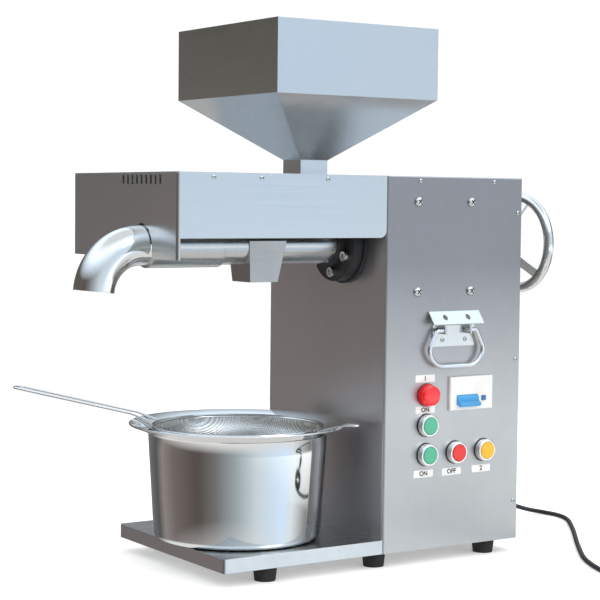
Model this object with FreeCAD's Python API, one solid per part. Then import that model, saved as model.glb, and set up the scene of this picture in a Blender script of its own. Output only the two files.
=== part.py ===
import FreeCAD, Part
import math
import os

V = FreeCAD.Vector
X_AXIS, Y_AXIS, Z_AXIS = V(1, 0, 0), V(0, 1, 0), V(0, 0, 1)

# A bench-top screw oil press, in millimetres. The press axis runs along X: the
# outlet elbow is at -X, the drive cabinet and its hand wheel at +X, and the
# control panel faces -Y. X is counted from the cabinet's front face, Y from the
# cabinet's middle and Z from the tray's lower edge, until frame_shift().

# ---- clearances -------------------------------------------------------------
FIT = 0.05          # shaft in its bearing or bush, per side
WIRE_SIDES = 8      # sides of the outline that a bent wire is swept with
PIPE_SIDES = 24     # and of the bent outlet pipe
SEAT = 0.1          # parts that are bolted or plugged together, per side
GAP = 0.3           # parts that move past each other, per side
BOLT_PLAY = 0.25    # bolt in its hole, per side

# ---- sheet metal: cabinet, tray and cover ------------------------------------
SHEET = 1.5
BEND = 4.0
CABINET_LENGTH = 226.0
CABINET_WIDTH = 280.0
CABINET_TOP = 492.0
TRAY_REACH = 239.0          # how far the tray stands out in front
TRAY_HEIGHT = 18.0
PANEL_LIP = 12.0            # folded edges of the top and rear panels
COVER_LENGTH = 308.0
COVER_SIDE_BOTTOM = 412.0
COVER_END_BOTTOM = 385.5
COVER_CORNER = 10.0
VENT_COUNT = 9
VENT_PITCH = 12.0
VENT_WIDTH = 5.0
VENT_HEIGHT = 12.0
VENT_TOP_MARGIN = 1.5
REAR_VENT_COUNT = 8
REAR_VENT_WIDTH = 5.0
REAR_VENT_HEIGHT = 46.0
REAR_VENT_PITCH = 13.0
REAR_VENT_Z = 250.0

# ---- feet ---------------------------------------------------------------------
FOOT_HEIGHT = 18.0
FOOT_TOP_RADIUS = 15.5
FOOT_BOTTOM_RADIUS = 13.5
FOOT_FRONT_INSET = 71.0     # foot's middle from the tray's front edge
FOOT_REAR_INSET = 42.0      # and from the cabinet's back
FOOT_SIDE_INSET = 20.0      # and from the cabinet's side
FOOT_RECESS = 6.0
FOOT_SCREW_RADIUS = 3.0
FOOT_SCREW_PAST = 6.0       # screw standing past the rail's floor
FOOT_HEAD_RADIUS = 6.0
FOOT_HEAD_HEIGHT = 3.2
RAIL_WIDTH = 26.0
RAIL_WALL = 2.5
RAIL_INSET = 12.0

# ---- hopper -------------------------------------------------------------------
HOPPER_X = -66.5
HOPPER_SIZE = 244.0
HOPPER_TOP = 680.0
HOPPER_BAND_BOTTOM = 589.0
HOPPER_NECK = 41.7
HOPPER_NECK_TOP = 511.4
HOPPER_HEM = 9.0
NECK_DEPTH = 66.0           # from the cone down into the feed inlet
INLET_WALL = 6.0
INLET_TOP = 468.0
PORT_SIZE = 34.0

# ---- press ----------------------------------------------------------------------
AXIS_Y = -48.7
AXIS_Z = 401.7
BARREL_RADIUS = 25.4
BARREL_BORE = 19.0
BARREL_END = -250.0
FLANGE_RADIUS = 49.0
FLANGE_THICK = 15.0
HUB_RADIUS = 30.0
HUB_LENGTH = 9.0
FLANGE_BOLTS = 6
FLANGE_BOLT_CIRCLE = 37.0
FLANGE_BOLT_START = 24.0
FLANGE_BOLT_RADIUS = 4.0
FLANGE_BOLT_LENGTH = 34.0
SOCKET_HEAD_RADIUS = 6.5
SOCKET_HEAD_HEIGHT = 8.0
SOCKET_RADIUS = 3.4
SOCKET_DEPTH = 4.0
DRAIN_SLOTS = 7
DRAIN_SLOT_WIDTH = 2.0
DRAIN_SLOT_PITCH = 6.0
DRAIN_X = -140.0
NOZZLE_LENGTH = 14.0
NOZZLE_BORE = 9.0
SLEEVE_WALL = 3.0
SLEEVE_REAR = -200.0
SLEEVE_SLANT = 12.0
ELBOW_RADIUS = 25.4
ELBOW_WALL = 2.0
ELBOW_BEND_RADIUS = 61.5
ELBOW_TURN = 85.0
ELBOW_LEAD = 3.5            # from the cover's end plate out to where the bend starts
ARCH_RADIUS = 27.5

# ---- oil chute --------------------------------------------------------------------
CHUTE_X0, CHUTE_X1 = -167.6, -111.7
CHUTE_TOP_Z = 407.0
CHUTE_BOTTOM_Z = 354.0
CHUTE_TOP_HALF = 27.2
CHUTE_TAPER_FRONT = 4.6
CHUTE_TAPER_REAR = 9.9
CHUTE_BOTTOM_HALF = 22.0

# ---- press screw and drive shaft ----------------------------------------------------
WORM_RADIUS = 18.7
WORM_ROOT_FEED = 10.0
WORM_ROOT_TIP = 15.0
WORM_PITCH = 25.0
WORM_TURNS = 7.5
FLIGHT_ROOT_WIDTH = 7.0
FLIGHT_TIP_WIDTH = 4.0
WORM_TIP = -231.0
WORM_NOSE = 8.0
SHANK_END = 30.0            # where the worm's shank ends in the drive shaft
SHANK_RADIUS = 10.0
SHAFT_RADIUS = 15.0
SHAFT_REAR_RADIUS = 10.0
SHAFT_SOCKET = 60.0         # length of the drive shaft round the shank
BEARING_RADIUS = 31.0
BEARING_WIDTH = 16.0
HOUSING_RIM_RADIUS = 52.0
HOUSING_RIM_THICK = 6.4
HOUSING_HUB_RADIUS = 43.0

# ---- gearbox ----------------------------------------------------------------------------
GEARBOX_X0, GEARBOX_X1 = 45.0, 146.0
GEARBOX_WALL = 7.0
GEARBOX_Z_HALF = 69.0
GEARBOX_Y0, GEARBOX_Y1 = -112.0, 94.0
MODULE_MAIN = 2.5
MODULE_INPUT = 1.75
MAIN_TEETH, LAY_PINION_TEETH = 39, 13
LAY_TEETH, INPUT_TEETH = 45, 15
MAIN_FACE = 26.0
INPUT_FACE = 18.0
TOOTH_PLAY = 0.35           # backlash at the pitch circle
LAYSHAFT_RADIUS = 9.0
SMALL_BEARING_RADIUS = 17.0
BRACKET_WALL = 4.0
BRACKET_LENGTH = 108.0
BIG_SCREW_X = (51.1, 139.0)
BIG_SCREW_Z = (341.3, 459.1)
BIG_SCREW_RADIUS = 4.0
BIG_HEAD_RADIUS = 6.6
BIG_HEAD_HEIGHT = 4.0
BIG_SCREW_REACH = 9.0

# ---- motor and belt -----------------------------------------------------------------------
MOTOR_LIFT = 22.0           # from the tray up to the motor
MOTOR_ROOM = 1.7            # from the motor to the cabinet's side wall
MOTOR_SHAFT_DEPTH = 30.0    # length of the shaft inside the motor
MOTOR_X0, MOTOR_X1 = 16.0, 150.0
MOTOR_SHAFT_RADIUS = 8.0
MOTOR_BELL = 14.0
MOTOR_FINS = 24
FIN_HEIGHT = 5.0
FIN_WIDTH = 3.0
MOUNT_WIDTH = 110.0
MOUNT_LENGTH = 90.0
MOUNT_WALL = 5.0
BELT_X = 176.0
BELT_WIDTH = 9.0
BELT_THICK = 6.0
PULLEY_WIDTH = 18.0
PULLEY_ROOM = 7.7           # from the large pulley to the cabinet's side wall
BELT_RATIO = 2.0
GROOVE_TAPER = 2.0

# ---- hand wheel ------------------------------------------------------------------------------
WHEEL_STANDOFF = 74.7
WHEEL_RADIUS = 70.3
RIM_RADIUS = 7.0
RIM_SIDES = 12
WHEEL_DISH = 36.0
WHEEL_HUB_RADIUS = 17.0
WHEEL_HUB_LENGTH = 28.0
SPOKES = 3
SPOKE_START = 105.0
SPOKE_WIDTH = 15.0
SPOKE_THICK = 7.0
WHEEL_NUT_RADIUS = 10.0
STUD_RADIUS = 6.0
WHEEL_NUT_HEIGHT = 9.0

# ---- control panel ------------------------------------------------------------------------------
BUTTON_X = 68.8
BUTTON_PITCH = 48.4
BUTTON_LOW_Z = 126.0
BUTTON_HIGH_Z = 164.8
LAMP_Z = 204.9
BEZEL_RADIUS = 14.9
BEZEL_HEIGHT = 8.5
GASKET_RADIUS = 15.6
GASKET_THICK = 1.2
CAP_RADIUS = 11.5
CAP_PROUD = 1.8
CAP_THICK = 6.0
BUTTON_TRAVEL = 3.5
STEM_RADIUS = 4.0
STEM_LENGTH = 14.0
PANEL_HOLE_RADIUS = 11.0
BLOCK_WIDTH, BLOCK_HEIGHT, BLOCK_DEPTH = 26.0, 30.0, 34.0
LAMP_RADIUS = 13.5
LAMP_PROUD = 13.5
LAMP_RING = 1.5
BREAKER_X0, BREAKER_X1 = 105.2, 177.0
BREAKER_Z0, BREAKER_Z1 = 182.3, 227.3
BREAKER_PROUD = 4.5
BREAKER_DEPTH = 62.0
TOGGLE_X0, TOGGLE_X1 = 116.0, 151.0
TOGGLE_Z = 196.0
TOGGLE_PIVOT_RADIUS = 8.0
TOGGLE_REACH = 15.0
TOGGLE_THICK = 5.0
TOGGLE_REST = -28.0
TEST_BUTTON_X, TEST_BUTTON_Z = 161.0, 197.0
TEST_BUTTON_SIZE = 6.0
TEST_BUTTON_PROUD = 2.0
TEST_TRAVEL = 1.5

# ---- small screws ---------------------------------------------------------------------------------
SMALL_HEAD_RADIUS = 3.2
SMALL_HEAD_HEIGHT = 1.6
HEAD_TAPER = 0.6           # how much a head narrows for its height
TOP_SCREW_X = (54.0, 178.0)
REAR_SCREW_Z = (52.0, 246.0, 445.0)
COVER_SCREW_X = (-258.0, -190.0, -92.0)
EDGE_MARGIN = 6.0           # from a sheet's edge to the screw row

# ---- carrying handles --------------------------------------------------------------------------------
HANDLE_X = 111.0
HANDLE_Z = 290.0            # height of the hinge
HANDLE_PLATE_WIDTH = 70.0
HANDLE_HOOD_WIDTH = 84.0
HANDLE_PLATE_TOP = 25.0
HANDLE_PLATE_BOTTOM = -22.0
HOOD_OUT = 14.0
HOOD_EDGE_Z = 8.5
HOOD_SHEET = 1.5
PIVOT_OUT = 8.0             # hinge's distance from the wall
BAIL_WIRE = 3.0
BAIL_TOP_HALF = 30.0
BAIL_WIDE_HALF = 44.5
BAIL_SHOULDER = 22.0
BAIL_DROP = 48.0
BAIL_CORNER = 24.0
PIVOT_LENGTH = 12.0
EAR_THICK = 3.0
EAR_RISE = 14.0             # from the hinge up to the ear's top
EAR_DROP = 5.0
HANDLE_SCREW_HALF_X = 19.0
HANDLE_SCREW_UP, HANDLE_SCREW_DOWN = 17.0, -13.0

# ---- pot and strainer -----------------------------------------------------------------------------------
POT_X, POT_Y = -145.0, -14.0
POT_BOTTOM_RADIUS = 109.5
POT_TOP_RADIUS = 117.6
POT_HEIGHT = 139.0
POT_WALL = 1.5
POT_CORNER = 8.0
BRIM_RADIUS = 143.0
BRIM_RISE = 9.9
STRAINER_RIM_RADIUS = 112.5
STRAINER_WIRE = 2.5
STRAINER_DEPTH = 62.0
STRAINER_SKIN = 1.0
HANDLE_AZIMUTH = 127.0
STRAINER_HANDLE_SPACING = 20.0
STRAINER_HANDLE_WIRE = 1.8
STRAINER_SINK = 7.0         # rim wire's depth below the brim's edge
STRAINER_BEND_PAST = 7.0    # bend in the arms, outside the brim's edge
STRAINER_TIP_REACH = 329.0
STRAINER_TIP_RISE = 38.0
HOOK_SPACING = 13.0
HOOK_WIRE = 1.5
HOOK_REACH = 166.0
HOOK_RISE = 11.0
BOWL_STEPS = 5

# ---- power cord --------------------------------------------------------------------------------------------
CORD_RADIUS = 3.25
GLAND_Y, GLAND_Z = 62.0, 46.0
GLAND_LENGTH = 38.0
CORD_ROUTE = (
    (264.0, 62.0, 46.0), (290.0, 62.0, 45.0), (316.0, 63.0, 40.0), (344.0, 66.0, 26.0),
    (372.0, 70.0, 9.0), (400.0, 72.0, -3.0), (428.0, 66.0, -12.0), (446.0, 46.0, -14.75),
    (448.0, 16.0, -14.75), (436.0, -14.0, -14.75), (414.0, -44.0, -14.75),
    (388.0, -78.0, -14.75), (359.0, -114.0, -14.75), (326.0, -154.0, -14.75),
    (290.0, -200.0, -14.75), (260.0, -240.0, -14.75), (238.0, -282.0, -14.75),
    (223.0, -322.0, -14.75), (214.0, -358.0, -14.75), (214.0, -390.0, -14.75),
)
COIL_MEAN_RADIUS = 38.0
COIL_TURNS_ACROSS = 3
COIL_LAYERS = 2
PLUG_LEAD = ((0.0, 9.75), (22.0, 9.6), (42.0, 5.8), (60.0, 3.25), (78.0, 3.25))
PLUG_LENGTH, PLUG_WIDTH, PLUG_HEIGHT = 36.0, 24.0, 15.0
PLUG_BOOT = 22.0
PLUG_CORNER = 3.0
PIN_LENGTH, PIN_WIDTH, PIN_THICK, PIN_SPACING = 17.0, 6.3, 1.6, 12.7

# ---- worked out from the sizes above -------------------------------------------------------------------------
HALF = CABINET_WIDTH / 2
WALL_Y = HALF - SHEET                       # inner face of the side walls
TRAY_HALF = WALL_Y - SEAT
TRAY_REAR = CABINET_LENGTH - SHEET - SEAT
FOOT_X = (FOOT_FRONT_INSET - TRAY_REACH, 0.0, CABINET_LENGTH - FOOT_REAR_INSET)
FOOT_Y = HALF - FOOT_SIDE_INSET
FLOOR = -FOOT_HEIGHT
WRAP_TOP = CABINET_TOP - SHEET
FLANGE_REAR = -HOUSING_RIM_THICK
FLANGE_FRONT = FLANGE_REAR - FLANGE_THICK
SCREW_SHOULDER = FLANGE_REAR - GAP          # where the worm's collar ends
ELBOW_START = -COVER_LENGTH - ELBOW_LEAD
MAIN_PITCH_RADIUS = MODULE_MAIN * MAIN_TEETH / 2
LAY_Y = AXIS_Y + MODULE_MAIN * (MAIN_TEETH + LAY_PINION_TEETH) / 2
INPUT_Y = LAY_Y + MODULE_INPUT * (LAY_TEETH + INPUT_TEETH) / 2
MOTOR_RADIUS = WALL_Y - INPUT_Y - MOTOR_ROOM
MOTOR_Z = TRAY_HEIGHT + MOTOR_LIFT + MOTOR_RADIUS
DRIVEN_PULLEY_RADIUS = WALL_Y - INPUT_Y - PULLEY_ROOM - BELT_THICK
MOTOR_PULLEY_RADIUS = DRIVEN_PULLEY_RADIUS / BELT_RATIO
MAIN_GEAR_X = GEARBOX_X0 + GEARBOX_WALL + 6.0
INPUT_GEAR_X = MAIN_GEAR_X + MAIN_FACE + 8.0
WHEEL_X = CABINET_LENGTH + WHEEL_STANDOFF
WHEEL_HUB_END = WHEEL_X - WHEEL_DISH + WHEEL_HUB_LENGTH / 2
GLAND_END = CABINET_LENGTH + GLAND_LENGTH


# ---- shape helpers -----------------------------------------------------------------------------------------------
def block(x0, x1, y0, y1, z0, z1):
    return Part.makeBox(x1 - x0, y1 - y0, z1 - z0, V(x0, y0, z0))


def rod(radius, start, end):
    start, end = V(*start), V(*end)
    return Part.makeCylinder(radius, (end - start).Length, start, end - start)


def pipe(outer, inner, start, end):
    return rod(outer, start, end).cut(rod(inner, start, end))


def x_rod(radius, x0, x1, y=AXIS_Y, z=AXIS_Z):
    return rod(radius, (x0, y, z), (x1, y, z))


def x_pipe(outer, inner, x0, x1, y=AXIS_Y, z=AXIS_Z):
    return x_rod(outer, x0, x1, y, z).cut(x_rod(inner, x0, x1, y, z))


def y_rod(radius, x, y0, y1, z):
    return rod(radius, (x, y0, z), (x, y1, z))


def ring_of_points(count, radius, start_deg, x=0.0, y=AXIS_Y, z=AXIS_Z):
    """Points on a circle about the X direction."""
    angles = [math.radians(start_deg + 360.0 * i / count) for i in range(count)]
    return [V(x, y + radius * math.cos(a), z + radius * math.sin(a)) for a in angles]


def prism(points, direction):
    return Part.Face(Part.makePolygon([V(*p) for p in points + points[:1]])).extrude(direction)


def revolve_x(profile, y, z):
    """Turns a closed list of (x, radius) about the line along X at y, z."""
    points = [V(x, y + r, z) for x, r in profile]
    face = Part.Face(Part.makePolygon(points + points[:1]))
    return face.revolve(V(0, y, z), X_AXIS, 360)


def rounded(shape, radius, wanted):
    """Fillets the edges whose middle point passes the test."""
    edges = [e for e in shape.Edges if wanted(e.CenterOfMass)]
    return shape.makeFillet(radius, edges) if edges else shape


def bevelled(shape, size, wanted):
    """Chamfers the edges whose middle point passes the test."""
    edges = [e for e in shape.Edges if wanted(e.CenterOfMass)]
    return shape.makeChamfer(size, edges) if edges else shape


def wire_section(radius, sides, centre, direction):
    """Many-sided outline of a bent wire or pipe, square to its direction."""
    side = direction.cross(Z_AXIS if abs(direction.z) < 0.9 else X_AXIS).normalize()
    up = side.cross(direction).normalize()
    angles = [math.radians(360.0 * (i + 0.5) / sides) for i in range(sides)]
    points = [centre + (side * math.cos(a) + up * math.sin(a)) * radius for a in angles]
    return Part.makePolygon(points + points[:1])


def four_sided(low, high, centre_x, centre_y):
    """Upright solid between two rectangles, each given as half x, half y, z and x offset."""
    def corners(half_x, half_y, z, offset):
        return [V(centre_x + offset + i * half_x, centre_y + j * half_y, z)
                for i, j in ((-1, -1), (1, -1), (1, 1), (-1, 1))]
    a, b = corners(*low), corners(*high)
    loops = [a, b] + [[a[i], a[(i + 1) % 4], b[(i + 1) % 4], b[i]] for i in range(4)]
    faces = [Part.Face(Part.makePolygon(loop + loop[:1])) for loop in loops]
    return Part.Solid(Part.Shell(faces))


def fused(shapes):
    whole = shapes[0]
    for other in shapes[1:]:
        whole = whole.fuse(other)
    return whole.removeSplitter()


def cut_all(shape, tools):
    for tool in tools:
        shape = shape.cut(tool)
    return shape


def mirrored_y(shape):
    return shape.mirror(V(0, 0, 0), Y_AXIS)


# ---- base ----------------------------------------------------------------------------------------------------------
def base_tray():
    """A tray folded from one sheet, open below, that the cabinet stands on."""
    outer = block(-TRAY_REACH, TRAY_REAR, -TRAY_HALF, TRAY_HALF, 0, TRAY_HEIGHT)
    outer = rounded(outer, BEND, lambda c: abs(c.z - TRAY_HEIGHT / 2) < 1 and c.x < 0)
    inner = block(SHEET - TRAY_REACH, TRAY_REAR - SHEET, SHEET - TRAY_HALF, TRAY_HALF - SHEET,
                  0, TRAY_HEIGHT - SHEET)
    return outer.cut(rounded(inner, BEND - SHEET, lambda c: abs(c.z * 2 - TRAY_HEIGHT + SHEET) < 1
                             and c.x < 0))


def foot_points():
    return [(x, side * FOOT_Y) for x in FOOT_X for side in (-1, 1)]


def base_rails():
    """Two channels under the tray that carry the feet."""
    rails = []
    top = TRAY_HEIGHT - SHEET
    for side in (-1, 1):
        y = side * FOOT_Y
        x0, x1 = RAIL_INSET - TRAY_REACH, TRAY_REAR - RAIL_INSET
        rail = block(x0, x1, y - RAIL_WIDTH / 2, y + RAIL_WIDTH / 2, 0, top)
        hollow = block(x0, x1, y - RAIL_WIDTH / 2 + RAIL_WALL, y + RAIL_WIDTH / 2 - RAIL_WALL,
                       RAIL_WALL, top)
        rail = rail.cut(hollow)
        for x in FOOT_X:
            rail = rail.cut(rod(FOOT_SCREW_RADIUS + BOLT_PLAY, (x, y, 0), (x, y, RAIL_WALL)))
        rails.append(rail)
    return rails


def rubber_feet():
    feet = []
    for x, y in foot_points():
        foot = Part.makeCone(FOOT_BOTTOM_RADIUS, FOOT_TOP_RADIUS, FOOT_HEIGHT, V(x, y, FLOOR))
        recess = rod(FOOT_HEAD_RADIUS + BOLT_PLAY, (x, y, FLOOR), (x, y, FLOOR + FOOT_RECESS))
        hole = rod(FOOT_SCREW_RADIUS + BOLT_PLAY, (x, y, FLOOR), (x, y, 0))
        feet.append(foot.cut(recess).cut(hole))
    return feet


def foot_screws():
    screws = []
    for x, y in foot_points():
        head_top = FLOOR + FOOT_RECESS
        head = rod(FOOT_HEAD_RADIUS, (x, y, head_top - FOOT_HEAD_HEIGHT), (x, y, head_top))
        shank = rod(FOOT_SCREW_RADIUS, (x, y, head_top), (x, y, RAIL_WALL + FOOT_SCREW_PAST))
        screws.append(head.fuse(shank).removeSplitter())
    return screws


# ---- cabinet ---------------------------------------------------------------------------------------------------------
def u_wrap(x0, x1, z0, z1, bend):
    """A sheet bent to a U in plan: a front at x0 and two sides, open at x1."""
    outer = block(x0, x1, -HALF, HALF, z0, z1)
    outer = rounded(outer, bend, lambda c: abs(c.z - (z0 + z1) / 2) < 1 and c.x < x0 + 1)
    inner = block(x0 + SHEET, x1, -WALL_Y, WALL_Y, z0, z1)
    inner = rounded(inner, bend - SHEET, lambda c: abs(c.z - (z0 + z1) / 2) < 1
                    and c.x < x0 + SHEET + 1)
    return outer.cut(inner)


def small_screw_places():
    """Head centre and inward direction of each small panel screw."""
    places = []
    for side in (-1, 1):
        inward = V(0, -side, 0)
        for x in TOP_SCREW_X:
            places.append((V(x, side * HALF, CABINET_TOP - EDGE_MARGIN), inward))
        for z in REAR_SCREW_Z:
            places.append((V(CABINET_LENGTH - EDGE_MARGIN, side * HALF, z), inward))
        for x in COVER_SCREW_X:
            places.append((V(x, side * HALF, CABINET_TOP - EDGE_MARGIN), inward))
    return places


def screw_head(place, inward, radius, height):
    """Low pan head that tapers away from the sheet it sits on."""
    return Part.makeCone(radius, radius - height * HEAD_TAPER, height, place, -inward)


def hole_along(place, inward, radius, length):
    return Part.makeCylinder(radius, 2 * length, place - inward * length, inward)


def panel_screws():
    """Heads of the small screws in the sheets' edges and in the handle plates."""
    return [screw_head(p, d, SMALL_HEAD_RADIUS, SMALL_HEAD_HEIGHT)
            for p, d in small_screw_places() + handle_screw_places()]


def big_screw_places():
    return [(V(x, side * HALF, z), V(0, -side, 0))
            for side in (-1, 1) for x in BIG_SCREW_X for z in BIG_SCREW_Z]


def big_screw_holes():
    return [hole_along(p, d, BIG_SCREW_RADIUS + BOLT_PLAY, BIG_SCREW_REACH)
            for p, d in big_screw_places()]


def gearbox_screws():
    return [screw_head(p, d, BIG_HEAD_RADIUS, BIG_HEAD_HEIGHT).fuse(
        Part.makeCylinder(BIG_SCREW_RADIUS, BIG_SCREW_REACH, p, d)).removeSplitter()
        for p, d in big_screw_places()]


def handle_screw_places():
    out = HALF + HOOD_SHEET
    return [(V(HANDLE_X + dx, side * out, HANDLE_Z + dz), V(0, -side, 0)) for side in (-1, 1)
            for dx in (-HANDLE_SCREW_HALF_X, HANDLE_SCREW_HALF_X)
            for dz in (HANDLE_SCREW_UP, HANDLE_SCREW_DOWN)]


def button_places():
    """Name, x and z of each push button."""
    return (("upper_green_button", BUTTON_X, BUTTON_HIGH_Z),
            ("lower_green_button", BUTTON_X, BUTTON_LOW_Z),
            ("red_button", BUTTON_X + BUTTON_PITCH, BUTTON_LOW_Z),
            ("yellow_button", BUTTON_X + 2 * BUTTON_PITCH, BUTTON_LOW_Z))


def panel_fittings():
    return [(x, z) for _, x, z in button_places()] + [(BUTTON_X, LAMP_Z)]


def cabinet_wrap():
    """Front and both sides of the cabinet, one sheet, down over the tray's edges."""
    wrap = u_wrap(0, CABINET_LENGTH, 0, WRAP_TOP, BEND)
    under_front = block(-1, BEND, -WALL_Y, WALL_Y, 0, TRAY_HEIGHT)
    barrel_hole = x_rod(HOUSING_HUB_RADIUS + BOLT_PLAY, -1, BEND)
    window = block(BREAKER_X0 - SEAT, BREAKER_X1 + SEAT, -HALF - 1, -WALL_Y + 1,
                   BREAKER_Z0 - SEAT, BREAKER_Z1 + SEAT)
    holes = [y_rod(PANEL_HOLE_RADIUS + SEAT, x, -HALF - 1, -WALL_Y + 1, z)
             for x, z in panel_fittings()]
    tools = [under_front, barrel_hole, window] + holes
    return cut_all(wrap, tools + big_screw_holes())


def top_panel():
    """Lid of the cabinet, with lips folded down inside the walls."""
    lid = block(0, CABINET_LENGTH, -HALF, HALF, WRAP_TOP, CABINET_TOP)
    lid = rounded(lid, BEND, lambda c: abs(c.z - CABINET_TOP + SHEET / 2) < 0.1 and c.x < 1)
    x0, x1 = SHEET + SEAT, CABINET_LENGTH - PANEL_LIP
    lips = [block(x0 + BEND, x1 - BEND, side * (WALL_Y - SEAT) - SHEET * (side > 0),
                  side * (WALL_Y - SEAT) + SHEET * (side < 0), WRAP_TOP - PANEL_LIP, WRAP_TOP)
            for side in (-1, 1)]
    return fused([lid] + lips)


def rear_panel():
    """Back of the cabinet, with lips folded forward inside the walls."""
    x1 = CABINET_LENGTH
    half = WALL_Y - SEAT
    plate = block(x1 - SHEET, x1, -half, half, TRAY_HEIGHT, WRAP_TOP)
    plate = plate.cut(block(x1 - SHEET - 1, x1 + 1, -half, half, 0, TRAY_HEIGHT + SEAT))
    lips = [block(x1 - PANEL_LIP, x1 - SHEET, side * half - SHEET * (side > 0),
                  side * half + SHEET * (side < 0), TRAY_HEIGHT + SEAT, WRAP_TOP - PANEL_LIP - SEAT)
            for side in (-1, 1)]
    bush_hole = x_rod(SHAFT_REAR_RADIUS + 6.0, x1 - 9, x1 + 9)
    gland_hole = x_rod(7.0 + SEAT, x1 - 9, x1 + 9, GLAND_Y, GLAND_Z)
    vents = [block(x1 - 9, x1 + 9, y - REAR_VENT_WIDTH / 2, y + REAR_VENT_WIDTH / 2,
                   REAR_VENT_Z - REAR_VENT_HEIGHT / 2, REAR_VENT_Z + REAR_VENT_HEIGHT / 2)
             for y in centred(REAR_VENT_COUNT, REAR_VENT_PITCH, 0)]
    tools = [bush_hole, gland_hole] + vents
    return cut_all(fused([plate] + lips), tools)


def centred(count, pitch, middle):
    return [middle + (i - (count - 1) / 2) * pitch for i in range(count)]


# ---- cover over the press -----------------------------------------------------------------------------------------------
def arch_opening():
    """The end plate's arch, open below, that the outlet elbow passes through."""
    x0, x1 = -COVER_LENGTH - 1, -COVER_LENGTH + BEND
    round_top = x_rod(ARCH_RADIUS, x0, x1)
    legs = block(x0, x1, AXIS_Y - ARCH_RADIUS, AXIS_Y + ARCH_RADIUS, COVER_END_BOTTOM - 9, AXIS_Z)
    return round_top.fuse(legs)


def cover_wrap():
    """End plate and both sides of the press cover, one bent sheet, open below."""
    wrap = u_wrap(-COVER_LENGTH, -SEAT, COVER_END_BOTTOM, WRAP_TOP, BEND)
    below_sides = block(-COVER_LENGTH + BEND, 1, -HALF - 1, HALF + 1, COVER_END_BOTTOM - 1,
                        COVER_SIDE_BOTTOM)
    wrap = wrap.cut(below_sides)
    wrap = rounded(wrap, COVER_CORNER, lambda c: abs(abs(c.y) - (HALF + WALL_Y) / 2) < 0.1 and
                   (abs(c.x + SEAT) < 0.1 and abs(c.z - COVER_SIDE_BOTTOM) < 0.1))
    vents = [block(-COVER_LENGTH - 1, SHEET + 1 - COVER_LENGTH, y - VENT_WIDTH / 2,
                   y + VENT_WIDTH / 2, WRAP_TOP - VENT_TOP_MARGIN - VENT_HEIGHT,
                   WRAP_TOP - VENT_TOP_MARGIN) for y in centred(VENT_COUNT, VENT_PITCH, AXIS_Y)]
    return cut_all(wrap, [arch_opening()] + vents)


def cover_top():
    """Top sheet of the press cover, with lips inside the sides and a hole for the neck."""
    lid = block(-COVER_LENGTH, -SEAT, -HALF, HALF, WRAP_TOP, CABINET_TOP)
    lid = rounded(lid, BEND, lambda c: abs(c.z - CABINET_TOP + SHEET / 2) < 0.1
                  and c.x < 1 - COVER_LENGTH)
    x0, x1 = -COVER_LENGTH + SHEET + BEND, -BEND
    lips = [block(x0, x1, side * (WALL_Y - SEAT) - SHEET * (side > 0),
                  side * (WALL_Y - SEAT) + SHEET * (side < 0), WRAP_TOP - PANEL_LIP, WRAP_TOP)
            for side in (-1, 1)]
    half = HOPPER_NECK / 2 + GAP
    neck_hole = block(HOPPER_X - half, HOPPER_X + half, AXIS_Y - half, AXIS_Y + half,
                      WRAP_TOP - 1, CABINET_TOP + 1)
    return fused([lid] + lips).cut(neck_hole)


# ---- hopper ------------------------------------------------------------------------------------------------------------------
def funnel(inset, top, bottom, cone_lift):
    """Square band, square cone and square neck, a sheet's distance inside the outer faces."""
    band, neck = HOPPER_SIZE / 2 - inset, HOPPER_NECK / 2 - inset
    cone_top, cone_low = HOPPER_BAND_BOTTOM + cone_lift, HOPPER_NECK_TOP + cone_lift
    levels = [(neck, bottom), (neck, cone_low), (band, cone_top), (band, top)]
    stages = [four_sided((r0, r0, z0, 0), (r1, r1, z1, 0), HOPPER_X, AXIS_Y)
              for (r0, z0), (r1, z1) in zip(levels, levels[1:])]
    return stages[0].fuse(stages[1]).fuse(stages[2])


def hopper():
    """Sheet hopper with a folded hem inside its rim, its neck going down to the feed inlet."""
    slope = (HOPPER_SIZE - HOPPER_NECK) / 2 / (HOPPER_BAND_BOTTOM - HOPPER_NECK_TOP)
    lift = SHEET * (math.hypot(1, slope) - 1) / slope
    outer = funnel(0, HOPPER_TOP, neck_foot(), 0)
    inner = funnel(SHEET, HOPPER_TOP + 1, neck_foot() - 1, lift)
    rim = HOPPER_SIZE / 2 - SHEET
    hem = hopper_block(rim).cut(hopper_block(rim - SHEET))
    return outer.cut(inner).fuse(hem).removeSplitter()


def hopper_block(half):
    return block(HOPPER_X - half, HOPPER_X + half, AXIS_Y - half, AXIS_Y + half,
                 HOPPER_TOP - HOPPER_HEM, HOPPER_TOP)


def neck_foot():
    return HOPPER_NECK_TOP - NECK_DEPTH


def feed_inlet():
    """Square collar on the barrel that the hopper's neck stands in."""
    half = HOPPER_NECK / 2 + INLET_WALL
    socket = HOPPER_NECK / 2 + SEAT
    collar = block(HOPPER_X - half, HOPPER_X + half, AXIS_Y - half, AXIS_Y + half,
                   AXIS_Z + BARREL_BORE, INLET_TOP)
    seat = block(HOPPER_X - socket, HOPPER_X + socket, AXIS_Y - socket, AXIS_Y + socket,
                 neck_foot() - SEAT, INLET_TOP + 1)
    port = block(HOPPER_X - PORT_SIZE / 2, HOPPER_X + PORT_SIZE / 2, AXIS_Y - PORT_SIZE / 2,
                 AXIS_Y + PORT_SIZE / 2, AXIS_Z, INLET_TOP)
    saddle = x_rod(BARREL_RADIUS + FIT, HOPPER_X - 2 * half, HOPPER_X + 2 * half)
    return cut_all(collar, [seat, port, saddle])


# ---- press -----------------------------------------------------------------------------------------------------------------------
def flange_bolt_points(x):
    return ring_of_points(FLANGE_BOLTS, FLANGE_BOLT_CIRCLE, FLANGE_BOLT_START, x)


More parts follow.
